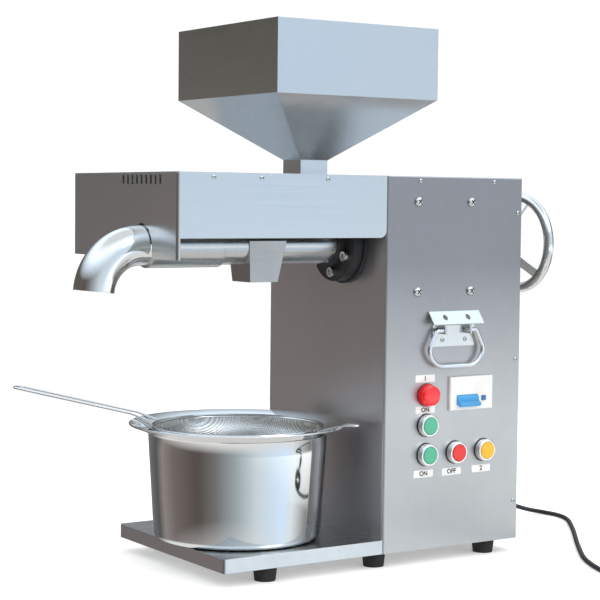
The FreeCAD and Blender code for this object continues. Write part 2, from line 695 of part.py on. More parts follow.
def press_barrel():
    """Barrel with the feed port above and drain slots below."""
    barrel = x_pipe(BARREL_RADIUS, BARREL_BORE, BARREL_END, FLANGE_REAR)
    port = block(HOPPER_X - PORT_SIZE / 2, HOPPER_X + PORT_SIZE / 2, AXIS_Y - PORT_SIZE / 2,
                 AXIS_Y + PORT_SIZE / 2, AXIS_Z, AXIS_Z + 2 * BARREL_RADIUS)
    slots = [block(x - DRAIN_SLOT_WIDTH / 2, x + DRAIN_SLOT_WIDTH / 2, AXIS_Y - BARREL_RADIUS,
                   AXIS_Y + BARREL_RADIUS, AXIS_Z - 2 * BARREL_RADIUS, AXIS_Z - BARREL_BORE * 0.6)
             for x in centred(DRAIN_SLOTS, DRAIN_SLOT_PITCH, DRAIN_X)]
    return cut_all(barrel, [port] + slots)


def barrel_flange():
    """Flange with a short hub, pressed on the barrel's rear end."""
    flange = fused([x_rod(HUB_RADIUS, FLANGE_FRONT - HUB_LENGTH, FLANGE_REAR),
                    x_rod(FLANGE_RADIUS, FLANGE_FRONT, FLANGE_REAR)])
    bore = x_rod(BARREL_RADIUS + FIT, FLANGE_FRONT - HUB_LENGTH, FLANGE_REAR)
    holes = [Part.makeCylinder(FLANGE_BOLT_RADIUS + BOLT_PLAY, FLANGE_THICK, p, X_AXIS)
             for p in flange_bolt_points(FLANGE_FRONT)]
    return cut_all(flange, [bore] + holes)


def flange_bolts():
    """Socket-head bolts that hold the barrel's flange to the bearing housing."""
    bolts = []
    for p in flange_bolt_points(FLANGE_FRONT):
        shank = Part.makeCylinder(FLANGE_BOLT_RADIUS, FLANGE_BOLT_LENGTH, p, X_AXIS)
        head = Part.makeCylinder(SOCKET_HEAD_RADIUS, SOCKET_HEAD_HEIGHT, p, -X_AXIS)
        socket = Part.makeCylinder(SOCKET_RADIUS, SOCKET_DEPTH, p - X_AXIS * SOCKET_HEAD_HEIGHT,
                                   X_AXIS)
        bolts.append(shank.fuse(head).removeSplitter().cut(socket))
    return bolts


def bearing_housing():
    """Black casting between the barrel's flange and the gearbox, through the cabinet's front."""
    rim = x_rod(HOUSING_RIM_RADIUS, -HOUSING_RIM_THICK, 0)
    hub = x_rod(HOUSING_HUB_RADIUS, 0, GEARBOX_X0)
    bore = x_rod(SHAFT_RADIUS + GAP, -HOUSING_RIM_THICK, GEARBOX_X0)
    seat = x_rod(BEARING_RADIUS + FIT, GEARBOX_X0 - BEARING_WIDTH, GEARBOX_X0)
    holes = [Part.makeCylinder(FLANGE_BOLT_RADIUS + SEAT, FLANGE_BOLT_LENGTH, p, X_AXIS)
             for p in flange_bolt_points(-HOUSING_RIM_THICK)]
    return cut_all(fused([rim, hub]), [bore, seat] + holes)


def nozzle_ring():
    """Choke ring in the barrel's end that the pressed cake leaves through."""
    x0, x1 = BARREL_END, BARREL_END + NOZZLE_LENGTH
    outer = BARREL_BORE - FIT
    return revolve_x([(x0, outer), (x1, outer), (x1, BARREL_BORE - 3.0), (x0, NOZZLE_BORE)],
                     AXIS_Y, AXIS_Z)


def outlet_sleeve():
    """Sleeve that joins the barrel to the outlet elbow, its rear end cut on a slant."""
    outer = BARREL_RADIUS + SLEEVE_WALL
    x0 = SHEET + SEAT - COVER_LENGTH + BEND
    sleeve = x_pipe(outer, BARREL_RADIUS + FIT, x0, SLEEVE_REAR)
    lo, hi = AXIS_Z - outer - 1, AXIS_Z + outer + 1
    y0, y1 = AXIS_Y - outer - 1, AXIS_Y + outer + 1
    wedge = prism([(SLEEVE_REAR, y0, lo), (SLEEVE_REAR + 1, y0, lo), (SLEEVE_REAR + 1, y0, hi),
                   (SLEEVE_REAR - SLEEVE_SLANT, y0, hi)], V(0, y1 - y0, 0))
    return sleeve.cut(wedge)


def outlet_elbow():
    """Polished bent pipe that turns the cake down and away from the tray."""
    tail_end = BARREL_END - SEAT
    start = V(ELBOW_START, AXIS_Y, AXIS_Z)
    centre = start - Z_AXIS * ELBOW_BEND_RADIUS
    turn = math.radians(ELBOW_TURN)

    def on_bend(angle):
        return centre + V(-math.sin(angle), 0, math.cos(angle)) * ELBOW_BEND_RADIUS

    path = Part.Wire([Part.LineSegment(V(tail_end, AXIS_Y, AXIS_Z), start).toShape(),
                      Part.Arc(start, on_bend(turn / 2), on_bend(turn)).toShape()])

    def swept(radius):
        ring = wire_section(radius, PIPE_SIDES, V(tail_end, AXIS_Y, AXIS_Z), -X_AXIS)
        return path.makePipeShell([ring], True, False)

    return swept(ELBOW_RADIUS).cut(swept(ELBOW_RADIUS - ELBOW_WALL))


def chute_shell(inset):
    """Tapered box under the barrel; inset is the distance in from its outer faces."""
    middle = (CHUTE_X0 + CHUTE_X1) / 2
    half = (CHUTE_X1 - CHUTE_X0) / 2 - inset
    narrow = (CHUTE_TAPER_FRONT + CHUTE_TAPER_REAR) / 2
    shifted = (CHUTE_TAPER_FRONT - CHUTE_TAPER_REAR) / 2
    return four_sided((half - narrow, CHUTE_BOTTOM_HALF - inset, CHUTE_BOTTOM_Z, shifted),
                      (half, CHUTE_TOP_HALF - inset, CHUTE_TOP_Z, 0), middle, AXIS_Y)


def oil_chute():
    """Open funnel hung on the barrel under the drain slots."""
    shell = chute_shell(0).cut(chute_shell(SHEET))
    return shell.cut(x_rod(BARREL_RADIUS + FIT, CHUTE_X0 - 9, CHUTE_X1 + 9))


# ---- press screw and drive shaft -----------------------------------------------------------------------------------------------------
def worm_flight():
    """Helical flight of the press screw, built along +Z from z = 0."""
    height = WORM_PITCH * WORM_TURNS
    inner = WORM_ROOT_FEED - 2.0
    helix = Part.makeHelix(WORM_PITCH, height, WORM_RADIUS)
    root, tip = FLIGHT_ROOT_WIDTH / 2, FLIGHT_TIP_WIDTH / 2
    profile = Part.makePolygon([V(inner, 0, -root), V(WORM_RADIUS, 0, -tip),
                                V(WORM_RADIUS, 0, tip), V(inner, 0, root), V(inner, 0, -root)])
    return Part.Wire(helix).makePipeShell([profile], True, True)


def press_screw():
    """Worm with a root that thickens towards the outlet, and a shank for the drive shaft."""
    flight = worm_flight()
    flight.rotate(V(0, 0, 0), Y_AXIS, -90)
    flight.translate(V(WORM_TIP + WORM_NOSE + WORM_PITCH * WORM_TURNS + FLIGHT_ROOT_WIDTH / 2,
                       AXIS_Y, AXIS_Z))
    feed_end = WORM_TIP + WORM_NOSE + WORM_PITCH * WORM_TURNS + FLIGHT_ROOT_WIDTH
    root = revolve_x([(WORM_TIP, 0), (WORM_TIP, NOZZLE_BORE - 3.0),
                      (WORM_TIP + WORM_NOSE, WORM_ROOT_TIP), (feed_end, WORM_ROOT_FEED),
                      (feed_end, BARREL_BORE - GAP), (SCREW_SHOULDER, BARREL_BORE - GAP),
                      (SCREW_SHOULDER, SHANK_RADIUS), (SHANK_END, SHANK_RADIUS),
                      (SHANK_END, 0)], AXIS_Y, AXIS_Z)
    return root.fuse(flight)


def drive_shaft():
    """Slow shaft: socket for the worm's shank, seats for the main gear and hand wheel."""
    x0 = SCREW_SHOULDER + SEAT
    step = GEARBOX_X1 + 2.0
    stud_end = WHEEL_HUB_END + WHEEL_NUT_HEIGHT - 2.0
    shaft = revolve_x([(x0, 0), (x0, SHAFT_RADIUS), (step, SHAFT_RADIUS),
                       (step, SHAFT_REAR_RADIUS), (WHEEL_HUB_END, SHAFT_REAR_RADIUS),
                       (WHEEL_HUB_END, STUD_RADIUS), (stud_end, STUD_RADIUS), (stud_end, 0)],
                      AXIS_Y, AXIS_Z)
    return shaft.cut(x_rod(SHANK_RADIUS + FIT, x0, SHANK_END + SEAT))


# ---- gears ---------------------------------------------------------------------------------------------------------------------------------
def gear(teeth, module, phase, bore, x, face, y, z):
    """Spur gear about X with straight-sided teeth; phase is a tooth's angle in the YZ plane."""
    pitch_radius = module * teeth / 2
    tip, root = pitch_radius + 0.9 * module, pitch_radius - 1.2 * module
    tooth = math.pi / teeth
    half_pitch = tooth / 2 - TOOTH_PLAY / (2 * pitch_radius)
    half_tip = half_pitch - math.tan(math.radians(20)) * (tip - pitch_radius) / pitch_radius
    half_root = half_pitch + math.tan(math.radians(20)) * (pitch_radius - root) / pitch_radius
    points = []
    for i in range(teeth):
        middle = phase + 2 * tooth * i
        for radius, offset in ((root, -half_root), (pitch_radius, -half_pitch), (tip, -half_tip),
                               (tip, half_tip), (pitch_radius, half_pitch), (root, half_root)):
            angle = middle + offset
            points.append(V(x, y + radius * math.cos(angle), z + radius * math.sin(angle)))
    blank = Part.Face(Part.makePolygon(points + points[:1])).extrude(X_AXIS * face)
    return blank.cut(x_rod(bore, x, x + face, y, z))


def main_gear():
    return gear(MAIN_TEETH, MODULE_MAIN, 0.0, SHAFT_RADIUS, MAIN_GEAR_X, MAIN_FACE,
                AXIS_Y, AXIS_Z)


def lay_gear():
    return gear(LAY_TEETH, MODULE_INPUT, 0.0, LAYSHAFT_RADIUS, INPUT_GEAR_X, INPUT_FACE,
                LAY_Y, AXIS_Z)


def shaft_with_pinion(teeth, module, x, face, y, shaft_end):
    """A shaft in the gearbox's bearings with its pinion cut on it."""
    gap_angle = math.pi + math.pi / teeth
    pinion = gear(teeth, module, gap_angle, SHAFT_REAR_RADIUS / 2, x, face, y, AXIS_Z)
    shaft = x_rod(LAYSHAFT_RADIUS, GEARBOX_X0 + 1, shaft_end, y)
    return pinion.fuse(shaft).removeSplitter()


def layshaft():
    return shaft_with_pinion(LAY_PINION_TEETH, MODULE_MAIN, MAIN_GEAR_X, MAIN_FACE, LAY_Y,
                             GEARBOX_X1 - 1)


def input_shaft():
    return shaft_with_pinion(INPUT_TEETH, MODULE_INPUT, INPUT_GEAR_X, INPUT_FACE, INPUT_Y,
                             BELT_X + PULLEY_WIDTH / 2)


def bearing_seats():
    """Outer radius, bore, first and last x, and y of each bearing."""
    wall = GEARBOX_WALL
    seats = [(BEARING_RADIUS, SHAFT_RADIUS, GEARBOX_X0 - BEARING_WIDTH, GEARBOX_X0, AXIS_Y),
             (BEARING_RADIUS, SHAFT_RADIUS, GEARBOX_X1 - wall, GEARBOX_X1, AXIS_Y)]
    for y in (LAY_Y, INPUT_Y):
        seats.append((SMALL_BEARING_RADIUS, LAYSHAFT_RADIUS, GEARBOX_X0 + 1, GEARBOX_X0 + wall, y))
        seats.append((SMALL_BEARING_RADIUS, LAYSHAFT_RADIUS, GEARBOX_X1 - wall, GEARBOX_X1 - 1, y))
    seats.append((SHAFT_REAR_RADIUS + 6.0 - SEAT, SHAFT_REAR_RADIUS, CABINET_LENGTH - SHEET - 8.0,
                  CABINET_LENGTH + 4.0, AXIS_Y))
    return seats


def shaft_bearings():
    return [x_pipe(outer, bore + FIT, x0, x1, y) for outer, bore, x0, x1, y in bearing_seats()]


def gearbox_housing():
    """Gear case, open at the rear where its cover plate closes it."""
    z0, z1 = AXIS_Z - GEARBOX_Z_HALF, AXIS_Z + GEARBOX_Z_HALF
    wall, x1 = GEARBOX_WALL, GEARBOX_X1 - GEARBOX_WALL
    case = block(GEARBOX_X0, x1, GEARBOX_Y0, GEARBOX_Y1, z0, z1)
    case = rounded(case, 10.0, lambda c: abs(c.x - (GEARBOX_X0 + x1) / 2) < 1)
    room = block(GEARBOX_X0 + wall, x1, GEARBOX_Y0 + wall, GEARBOX_Y1 - wall, z0 + wall, z1 - wall)
    shaft_hole = x_rod(SHAFT_RADIUS + GAP, GEARBOX_X0, x1)
    seats = [x_rod(outer + FIT, x0, x1, y) for outer, _, x0, x1, y in bearing_seats()[2:-1:2]]
    return cut_all(case, [room, shaft_hole] + seats)


def gearbox_cover():
    z0, z1 = AXIS_Z - GEARBOX_Z_HALF, AXIS_Z + GEARBOX_Z_HALF
    x0, x1 = GEARBOX_X1 - GEARBOX_WALL, GEARBOX_X1
    plate = rounded(block(x0, x1, GEARBOX_Y0, GEARBOX_Y1, z0, z1), 10.0,
                    lambda c: abs(c.x - (x0 + x1) / 2) < 0.1)
    seats = [x_rod(outer + FIT, x0, last, y)
             for outer, _, _, last, y in (bearing_seats()[1], bearing_seats()[3])]
    input_seat = x_rod(SMALL_BEARING_RADIUS + FIT, x0, x1 - 1, INPUT_Y)
    input_hole = x_rod(LAYSHAFT_RADIUS + GAP, x0, x1, INPUT_Y)
    return cut_all(plate, seats + [input_seat, input_hole])


def gearbox_brackets():
    """Rectangular tubes between the gear case and the cabinet's side walls."""
    z0, z1 = AXIS_Z - GEARBOX_Z_HALF, AXIS_Z + GEARBOX_Z_HALF
    x0 = (BIG_SCREW_X[0] + BIG_SCREW_X[1] - BRACKET_LENGTH) / 2
    x1 = x0 + BRACKET_LENGTH
    t = BRACKET_WALL
    tubes = []
    for y0, y1 in ((-WALL_Y, GEARBOX_Y0), (GEARBOX_Y1, WALL_Y)):
        tube = block(x0, x1, y0, y1, z0, z1).cut(block(x0, x1, y0 + t, y1 - t, z0 + t, z1 - t))
        tubes.append(cut_all(tube, big_screw_holes()))
    return tubes


# ---- motor and belt ------------------------------------------------------------------------------------------------------------------------------
def motor_body():
    """Motor with cooling ribs along its shell and a bell at each end."""
    shell_radius = MOTOR_RADIUS - FIN_HEIGHT
    shell = x_rod(shell_radius, MOTOR_X0 + MOTOR_BELL, MOTOR_X1 - MOTOR_BELL, INPUT_Y, MOTOR_Z)
    bells = [x_rod(MOTOR_RADIUS, MOTOR_X0, MOTOR_X0 + MOTOR_BELL, INPUT_Y, MOTOR_Z),
             x_rod(MOTOR_RADIUS, MOTOR_X1 - MOTOR_BELL, MOTOR_X1, INPUT_Y, MOTOR_Z)]
    ribs = []
    for i in range(MOTOR_FINS):
        rib = block(MOTOR_X0 + MOTOR_BELL, MOTOR_X1 - MOTOR_BELL, INPUT_Y - FIN_WIDTH / 2,
                    INPUT_Y + FIN_WIDTH / 2, MOTOR_Z + shell_radius - 2.0, MOTOR_Z + MOTOR_RADIUS - 1)
        rib.rotate(V(0, INPUT_Y, MOTOR_Z), X_AXIS, 360.0 * (i + 0.5) / MOTOR_FINS)
        ribs.append(rib)
    body = fused([shell] + bells + ribs)
    return body.cut(x_rod(MOTOR_SHAFT_RADIUS + GAP, MOTOR_X1 - MOTOR_SHAFT_DEPTH, MOTOR_X1, INPUT_Y,
                          MOTOR_Z))


def motor_mount():
    """Channel foot that cradles the motor on the tray."""
    middle = (MOTOR_X0 + MOTOR_X1) / 2
    x0, x1 = middle - MOUNT_LENGTH / 2, middle + MOUNT_LENGTH / 2
    y0, y1 = INPUT_Y - MOUNT_WIDTH / 2, INPUT_Y + MOUNT_WIDTH / 2
    top = MOTOR_Z - MOTOR_RADIUS / 2
    cradle = block(x0, x1, y0, y1, TRAY_HEIGHT, top)
    cradle = cradle.cut(x_rod(MOTOR_RADIUS + FIT, x0, x1, INPUT_Y, MOTOR_Z))
    return cradle.cut(block(x0 + MOUNT_WALL, x1 - MOUNT_WALL, y0 - 1, y1 + 1,
                            TRAY_HEIGHT + MOUNT_WALL, top))


def v_pulley(radius, bore, y, z):
    """Pulley with a V groove; radius is the belt's inner radius on it."""
    x0, x1 = BELT_X - PULLEY_WIDTH / 2, BELT_X + PULLEY_WIDTH / 2
    g0, g1 = BELT_X - BELT_WIDTH / 2 - GAP, BELT_X + BELT_WIDTH / 2 + GAP
    floor, rim = radius - GAP, radius + BELT_THICK
    return revolve_x([(x0, bore), (x1, bore), (x1, rim), (g1 + GROOVE_TAPER, rim), (g1, floor),
                      (g0, floor), (g0 - GROOVE_TAPER, rim), (x0, rim)], y, z)


def driven_pulley():
    return v_pulley(DRIVEN_PULLEY_RADIUS, LAYSHAFT_RADIUS, INPUT_Y, AXIS_Z)


def motor_pulley():
    return v_pulley(MOTOR_PULLEY_RADIUS, MOTOR_SHAFT_RADIUS, INPUT_Y, MOTOR_Z)


def motor_shaft():
    x0 = MOTOR_X1 - MOTOR_SHAFT_DEPTH + GAP
    return x_rod(MOTOR_SHAFT_RADIUS, x0, BELT_X + PULLEY_WIDTH / 2, INPUT_Y, MOTOR_Z)


def belt_outline(grow):
    """Closed line round both pulleys, grown outwards from the belt's inner face."""
    top, low = DRIVEN_PULLEY_RADIUS + grow, MOTOR_PULLEY_RADIUS + grow
    lean = math.asin((top - low) / (AXIS_Z - MOTOR_Z))
    x = BELT_X - BELT_WIDTH / 2

    def at(radius, z, angle):
        return V(x, INPUT_Y + radius * math.cos(angle), z + radius * math.sin(angle))

    right_top, left_top = at(top, AXIS_Z, -lean), at(top, AXIS_Z, math.pi + lean)
    right_low, left_low = at(low, MOTOR_Z, -lean), at(low, MOTOR_Z, math.pi + lean)
    return Part.Wire([Part.Arc(right_top, at(top, AXIS_Z, math.pi / 2), left_top).toShape(),
                      Part.LineSegment(left_top, left_low).toShape(),
                      Part.Arc(left_low, at(low, MOTOR_Z, -math.pi / 2), right_low).toShape(),
                      Part.LineSegment(right_low, right_top).toShape()])


def drive_belt():
    loop = Part.Face(belt_outline(BELT_THICK - GAP)).cut(Part.Face(belt_outline(0)))
    return loop.extrude(X_AXIS * BELT_WIDTH)


# ---- hand wheel --------------------------------------------------------------------------------------------------------------------------------------
def hand_wheel():
    """Wheel with a dished set of spokes: its hub stands nearer the cabinet than its rim."""
    rim_line, hub_x = WHEEL_RADIUS - RIM_RADIUS, WHEEL_X - WHEEL_DISH
    section = [(WHEEL_X + RIM_RADIUS * math.cos(a), rim_line + RIM_RADIUS * math.sin(a))
               for a in (2 * math.pi * i / RIM_SIDES for i in range(RIM_SIDES))]
    parts = [revolve_x(section, AXIS_Y, AXIS_Z),
             x_rod(WHEEL_HUB_RADIUS, hub_x - WHEEL_HUB_LENGTH / 2, hub_x + WHEEL_HUB_LENGTH / 2)]
    half, y0, y1 = SPOKE_THICK / 2, AXIS_Y + WHEEL_HUB_RADIUS / 2, AXIS_Y + rim_line
    for i in range(SPOKES):
        low = AXIS_Z - SPOKE_WIDTH / 2
        spoke = prism([(hub_x - half, y0, low), (hub_x + half, y0, low),
                       (WHEEL_X + half, y1, low), (WHEEL_X - half, y1, low)],
                      V(0, 0, SPOKE_WIDTH))
        spoke.rotate(V(0, AXIS_Y, AXIS_Z), X_AXIS, SPOKE_START + 360.0 * i / SPOKES)
        parts.append(spoke)
    return fused(parts).cut(x_rod(SHAFT_REAR_RADIUS, CABINET_LENGTH, WHEEL_X + WHEEL_RADIUS))


def wheel_nut():
    x0 = WHEEL_HUB_END
    corners = [tuple(p) for p in ring_of_points(6, WHEEL_NUT_RADIUS, 0, x0)]
    nut = prism(corners, X_AXIS * WHEEL_NUT_HEIGHT)
    return nut.cut(x_rod(STUD_RADIUS + FIT, x0, x0 + WHEEL_NUT_HEIGHT - 1.0))


# ---- control panel --------------------------------------------------------------------------------------------------------------------------------------
def button_housing(x, z):
    """Chrome bezel in front of the panel, contact block behind it."""
    face = -HALF - GASKET_THICK - BEZEL_HEIGHT
    bezel = y_rod(BEZEL_RADIUS, x, face, -HALF - GASKET_THICK, z)
    bezel = bevelled(bezel, 1.5, lambda c: abs(c.y - face) < 0.01)
    neck = y_rod(PANEL_HOLE_RADIUS, x, -HALF - GASKET_THICK, -WALL_Y, z)
    contacts = block(x - BLOCK_WIDTH / 2, x + BLOCK_WIDTH / 2, -WALL_Y, -WALL_Y + BLOCK_DEPTH,
                     z - BLOCK_HEIGHT / 2, z + BLOCK_HEIGHT / 2)
    cap_room = y_rod(CAP_RADIUS + GAP, x, face, cap_back() + BUTTON_TRAVEL + GAP, z)
    stem_room = y_rod(STEM_RADIUS + FIT, x, face, cap_back() + STEM_LENGTH + BUTTON_TRAVEL + GAP, z)
    return cut_all(fused([bezel, neck, contacts]), [cap_room, stem_room])


def cap_back():
    return -HALF - GASKET_THICK - BEZEL_HEIGHT - CAP_PROUD + CAP_THICK


def button_housings():
    return [button_housing(x, z) for _, x, z in button_places()]


def button_cap(x, z):
    face = cap_back() - CAP_THICK
    cap = y_rod(CAP_RADIUS, x, face, cap_back(), z)
    cap = bevelled(cap, 1.0, lambda c: abs(c.y - face) < 0.01)
    return cap.fuse(y_rod(STEM_RADIUS, x, cap_back(), cap_back() + STEM_LENGTH, z)).removeSplitter()


def panel_gaskets():
    return [y_rod(GASKET_RADIUS, x, -HALF - GASKET_THICK, -HALF, z).cut(
        y_rod(PANEL_HOLE_RADIUS + SEAT, x, -HALF - GASKET_THICK, -HALF, z))
        for x, z in panel_fittings()]


def lamp_housing():
    front = -HALF - GASKET_THICK - LAMP_RING
    ring = y_rod(BEZEL_RADIUS, BUTTON_X, front, -HALF - GASKET_THICK, LAMP_Z)
    neck = y_rod(PANEL_HOLE_RADIUS, BUTTON_X, -HALF - GASKET_THICK, -WALL_Y, LAMP_Z)
    holder = y_rod(PANEL_HOLE_RADIUS + 2.0, BUTTON_X, -WALL_Y, -WALL_Y + BLOCK_DEPTH, LAMP_Z)
    return fused([ring, neck, holder])


def lamp_lens():
    back = -HALF - GASKET_THICK - LAMP_RING
    face = -HALF - LAMP_PROUD
    lens = y_rod(LAMP_RADIUS, BUTTON_X, face, back, LAMP_Z)
    return bevelled(lens, 2.5, lambda c: abs(c.y - face) < 0.01)


def breaker_body():
    """Two-pole breaker clipped behind the panel's window."""
    y0 = -HALF - BREAKER_PROUD
    body = block(BREAKER_X0, BREAKER_X1, y0, y0 + BREAKER_DEPTH, BREAKER_Z0, BREAKER_Z1)
    body = rounded(body, 1.5, lambda c: abs(c.y - y0) < 0.01)
    well = x_rod(TOGGLE_PIVOT_RADIUS + GAP, TOGGLE_X0 - GAP, TOGGLE_X1 + GAP, toggle_y(), TOGGLE_Z)
    half = TEST_BUTTON_SIZE / 2 + GAP
    test_room = block(TEST_BUTTON_X - half, TEST_BUTTON_X + half, y0 - 1, y0 + TEST_TRAVEL + 6.0,
                      TEST_BUTTON_Z - half, TEST_BUTTON_Z + half)
    pins = [x_rod(1.5, TOGGLE_X0 - GAP, TOGGLE_X1 + GAP, toggle_y(), TOGGLE_Z)]
    return fused([cut_all(body, [well, test_room])] + pins)


def toggle_y():
    return -HALF - BREAKER_PROUD + TOGGLE_PIVOT_RADIUS * 0.6


def breaker_toggle():
    """Linked levers of the breaker, one piece on one pivot."""
    y, z = toggle_y(), TOGGLE_Z
    drum = x_rod(TOGGLE_PIVOT_RADIUS, TOGGLE_X0, TOGGLE_X1, y, z)
    lever = block(TOGGLE_X0, TOGGLE_X1, y - TOGGLE_REACH, y, z - TOGGLE_THICK / 2,
                  z + TOGGLE_THICK / 2)
    lever = rounded(lever, 1.2, lambda c: abs(c.y - y + TOGGLE_REACH) < 0.01)
    toggle = fused([drum, lever])
    toggle.rotate(V(0, y, z), X_AXIS, -TOGGLE_REST)
    return toggle.cut(x_rod(1.5 + FIT, TOGGLE_X0, TOGGLE_X1, y, z))


def test_button():
    half = TEST_BUTTON_SIZE / 2
    y0 = -HALF - BREAKER_PROUD
    return block(TEST_BUTTON_X - half, TEST_BUTTON_X + half, y0 - TEST_BUTTON_PROUD, y0 + 6.0,
                 TEST_BUTTON_Z - half, TEST_BUTTON_Z + half)


# ---- carrying handles ---------------------------------------------------------------------------------------------------------------------------------------
def handle_plate():
    """Pressed plate with a hood over the bail's hinge, on the control side."""
    half, wall, t = HANDLE_PLATE_WIDTH / 2, -HALF, HOOD_SHEET
    z0, z1 = HANDLE_Z + HANDLE_PLATE_BOTTOM, HANDLE_Z + HANDLE_PLATE_TOP
    plate = block(HANDLE_X - half, HANDLE_X + half, wall - t, wall, z0, z1)
    x0 = HANDLE_X - HANDLE_HOOD_WIDTH / 2
    edge = HANDLE_Z + HOOD_EDGE_Z
    hood = prism([(x0, wall, z1), (x0, wall - t, z1), (x0, wall - HOOD_OUT, edge),
                  (x0, wall - HOOD_OUT + t, edge - t), (x0, wall, z1 - 1.6 * t)],
                 V(HANDLE_HOOD_WIDTH, 0, 0))
    ears = []
    for side in (-1, 1):
        x = HANDLE_X + side * (BAIL_TOP_HALF - PIVOT_LENGTH / 2 - BAIL_WIRE) - EAR_THICK / 2
        ears.append(prism([(x, wall, HANDLE_Z + EAR_RISE), (x, wall - HOOD_OUT + 2 * t, edge - t),
                           (x, wall - PIVOT_OUT - EAR_DROP, HANDLE_Z - EAR_DROP),
                           (x, wall, HANDLE_Z - EAR_DROP)], V(EAR_THICK, 0, 0)))
    body = fused([plate, hood] + ears)
    pivot = x_rod(BAIL_WIRE + SEAT, HANDLE_X - half, HANDLE_X + half, wall - PIVOT_OUT, HANDLE_Z)
    driver = [hole_along(p, d, SMALL_HEAD_RADIUS + GAP, HOOD_OUT).cut(
        block(0, CABINET_LENGTH, wall - t, 0, 0, CABINET_TOP)) for p, d in handle_screw_places()[:4]]
    return cut_all(body, [pivot] + driver)


def handle_plates():
    plate = handle_plate()
    return [plate, mirrored_y(plate)]


def bail(side):
    """Wire loop that hangs from the handle plate's hinge."""
    y = side * (HALF + PIVOT_OUT)

    def at(x, drop):
        return V(HANDLE_X + x, y, HANDLE_Z - drop)

    start = at(-BAIL_TOP_HALF + PIVOT_LENGTH, 0)
    corners = [start, at(-BAIL_TOP_HALF - BAIL_WIRE, 0), at(-BAIL_WIDE_HALF, BAIL_SHOULDER),
               at(-BAIL_WIDE_HALF, BAIL_DROP), at(BAIL_WIDE_HALF, BAIL_DROP),
               at(BAIL_WIDE_HALF, BAIL_SHOULDER), at(BAIL_TOP_HALF + BAIL_WIRE, 0),
               at(BAIL_TOP_HALF - PIVOT_LENGTH, 0)]
    radii = [BAIL_WIRE * 1.6, BAIL_WIRE * 4, BAIL_CORNER, BAIL_CORNER, BAIL_WIRE * 4,
             BAIL_WIRE * 1.6]
    path, _ = rounded_path(corners, radii)
    ring = wire_section(BAIL_WIRE, WIRE_SIDES, start, -X_AXIS)
    return path.makePipeShell([ring], True, False)


def rounded_path(points, radii):
    """Straight runs joined by tangent arcs; returns the wire and its length."""
    edges, length = [], 0.0
    here = points[0]
    for i, radius in enumerate(radii, 1):
        before = (points[i - 1] - points[i]).normalize()
        after = (points[i + 1] - points[i]).normalize()
        turn = math.pi - before.getAngle(after)
        reach = radius * math.tan(turn / 2)
        a, b = points[i] + before * reach, points[i] + after * reach
        bisector = (before + after).normalize()
        middle = points[i] + bisector * (radius / math.cos(turn / 2) - radius)
        edges += [Part.LineSegment(here, a).toShape(), Part.Arc(a, middle, b).toShape()]
        length += (a - here).Length + radius * turn
        here = b
    edges.append(Part.LineSegment(here, points[-1]).toShape())
    return Part.Wire(edges), length + (points[-1] - here).Length


# ---- pot and strainer ------------------------------------------------------------------------------------------------------------------------------------------
def revolve_z(profile, x, y):
    """Turns a closed list of (radius, z) about the upright line at x, y."""
    points = [V(x + r, y, z) for r, z in profile]
    return Part.Face(Part.makePolygon(points + points[:1])).revolve(V(x, y, 0), Z_AXIS, 360)


def collecting_pot():
    """Deep pot with a wide conical brim, standing on the tray."""
    z0 = TRAY_HEIGHT
    z1, z2 = z0 + POT_HEIGHT, z0 + POT_HEIGHT + BRIM_RISE
    lift = brim_lift()
    outer_low, inner_low = POT_BOTTOM_RADIUS, POT_BOTTOM_RADIUS - POT_WALL
    c, i = POT_CORNER, POT_CORNER - POT_WALL * 0.6
    profile = [(0, z0), (outer_low - c, z0), (outer_low, z0 + c), (POT_TOP_RADIUS, z1),
               (BRIM_RADIUS, z2), (BRIM_RADIUS, z2 + lift),
               (POT_TOP_RADIUS - POT_WALL, z1 + lift), (inner_low, z0 + c),
               (inner_low - i, z0 + POT_WALL), (0, z0 + POT_WALL)]
    return revolve_z(profile, POT_X, POT_Y)


def brim_lift():
    """Height of the brim's upper face over its lower one."""
    slope = BRIM_RISE / (BRIM_RADIUS - POT_TOP_RADIUS)
    return POT_WALL * math.hypot(1, 1 / slope) * slope


def brim_top():
    return TRAY_HEIGHT + POT_HEIGHT + BRIM_RISE + brim_lift()


def strainer_bowl():
    """Fine mesh bowl, as a thin closed skin inside the rim wire."""
    z = brim_top() - STRAINER_SINK
    rim = STRAINER_RIM_RADIUS - STRAINER_WIRE

    def arc(radius, depth):
        turns = [math.pi / 2 * i / BOWL_STEPS for i in range(BOWL_STEPS + 1)]
        return [(radius * math.sin(a), z - depth * math.cos(a)) for a in turns]

    outer = arc(rim, STRAINER_DEPTH)
    inner = arc(rim - STRAINER_SKIN, STRAINER_DEPTH - STRAINER_SKIN)
    return revolve_z(outer + inner[::-1], POT_X, POT_Y)


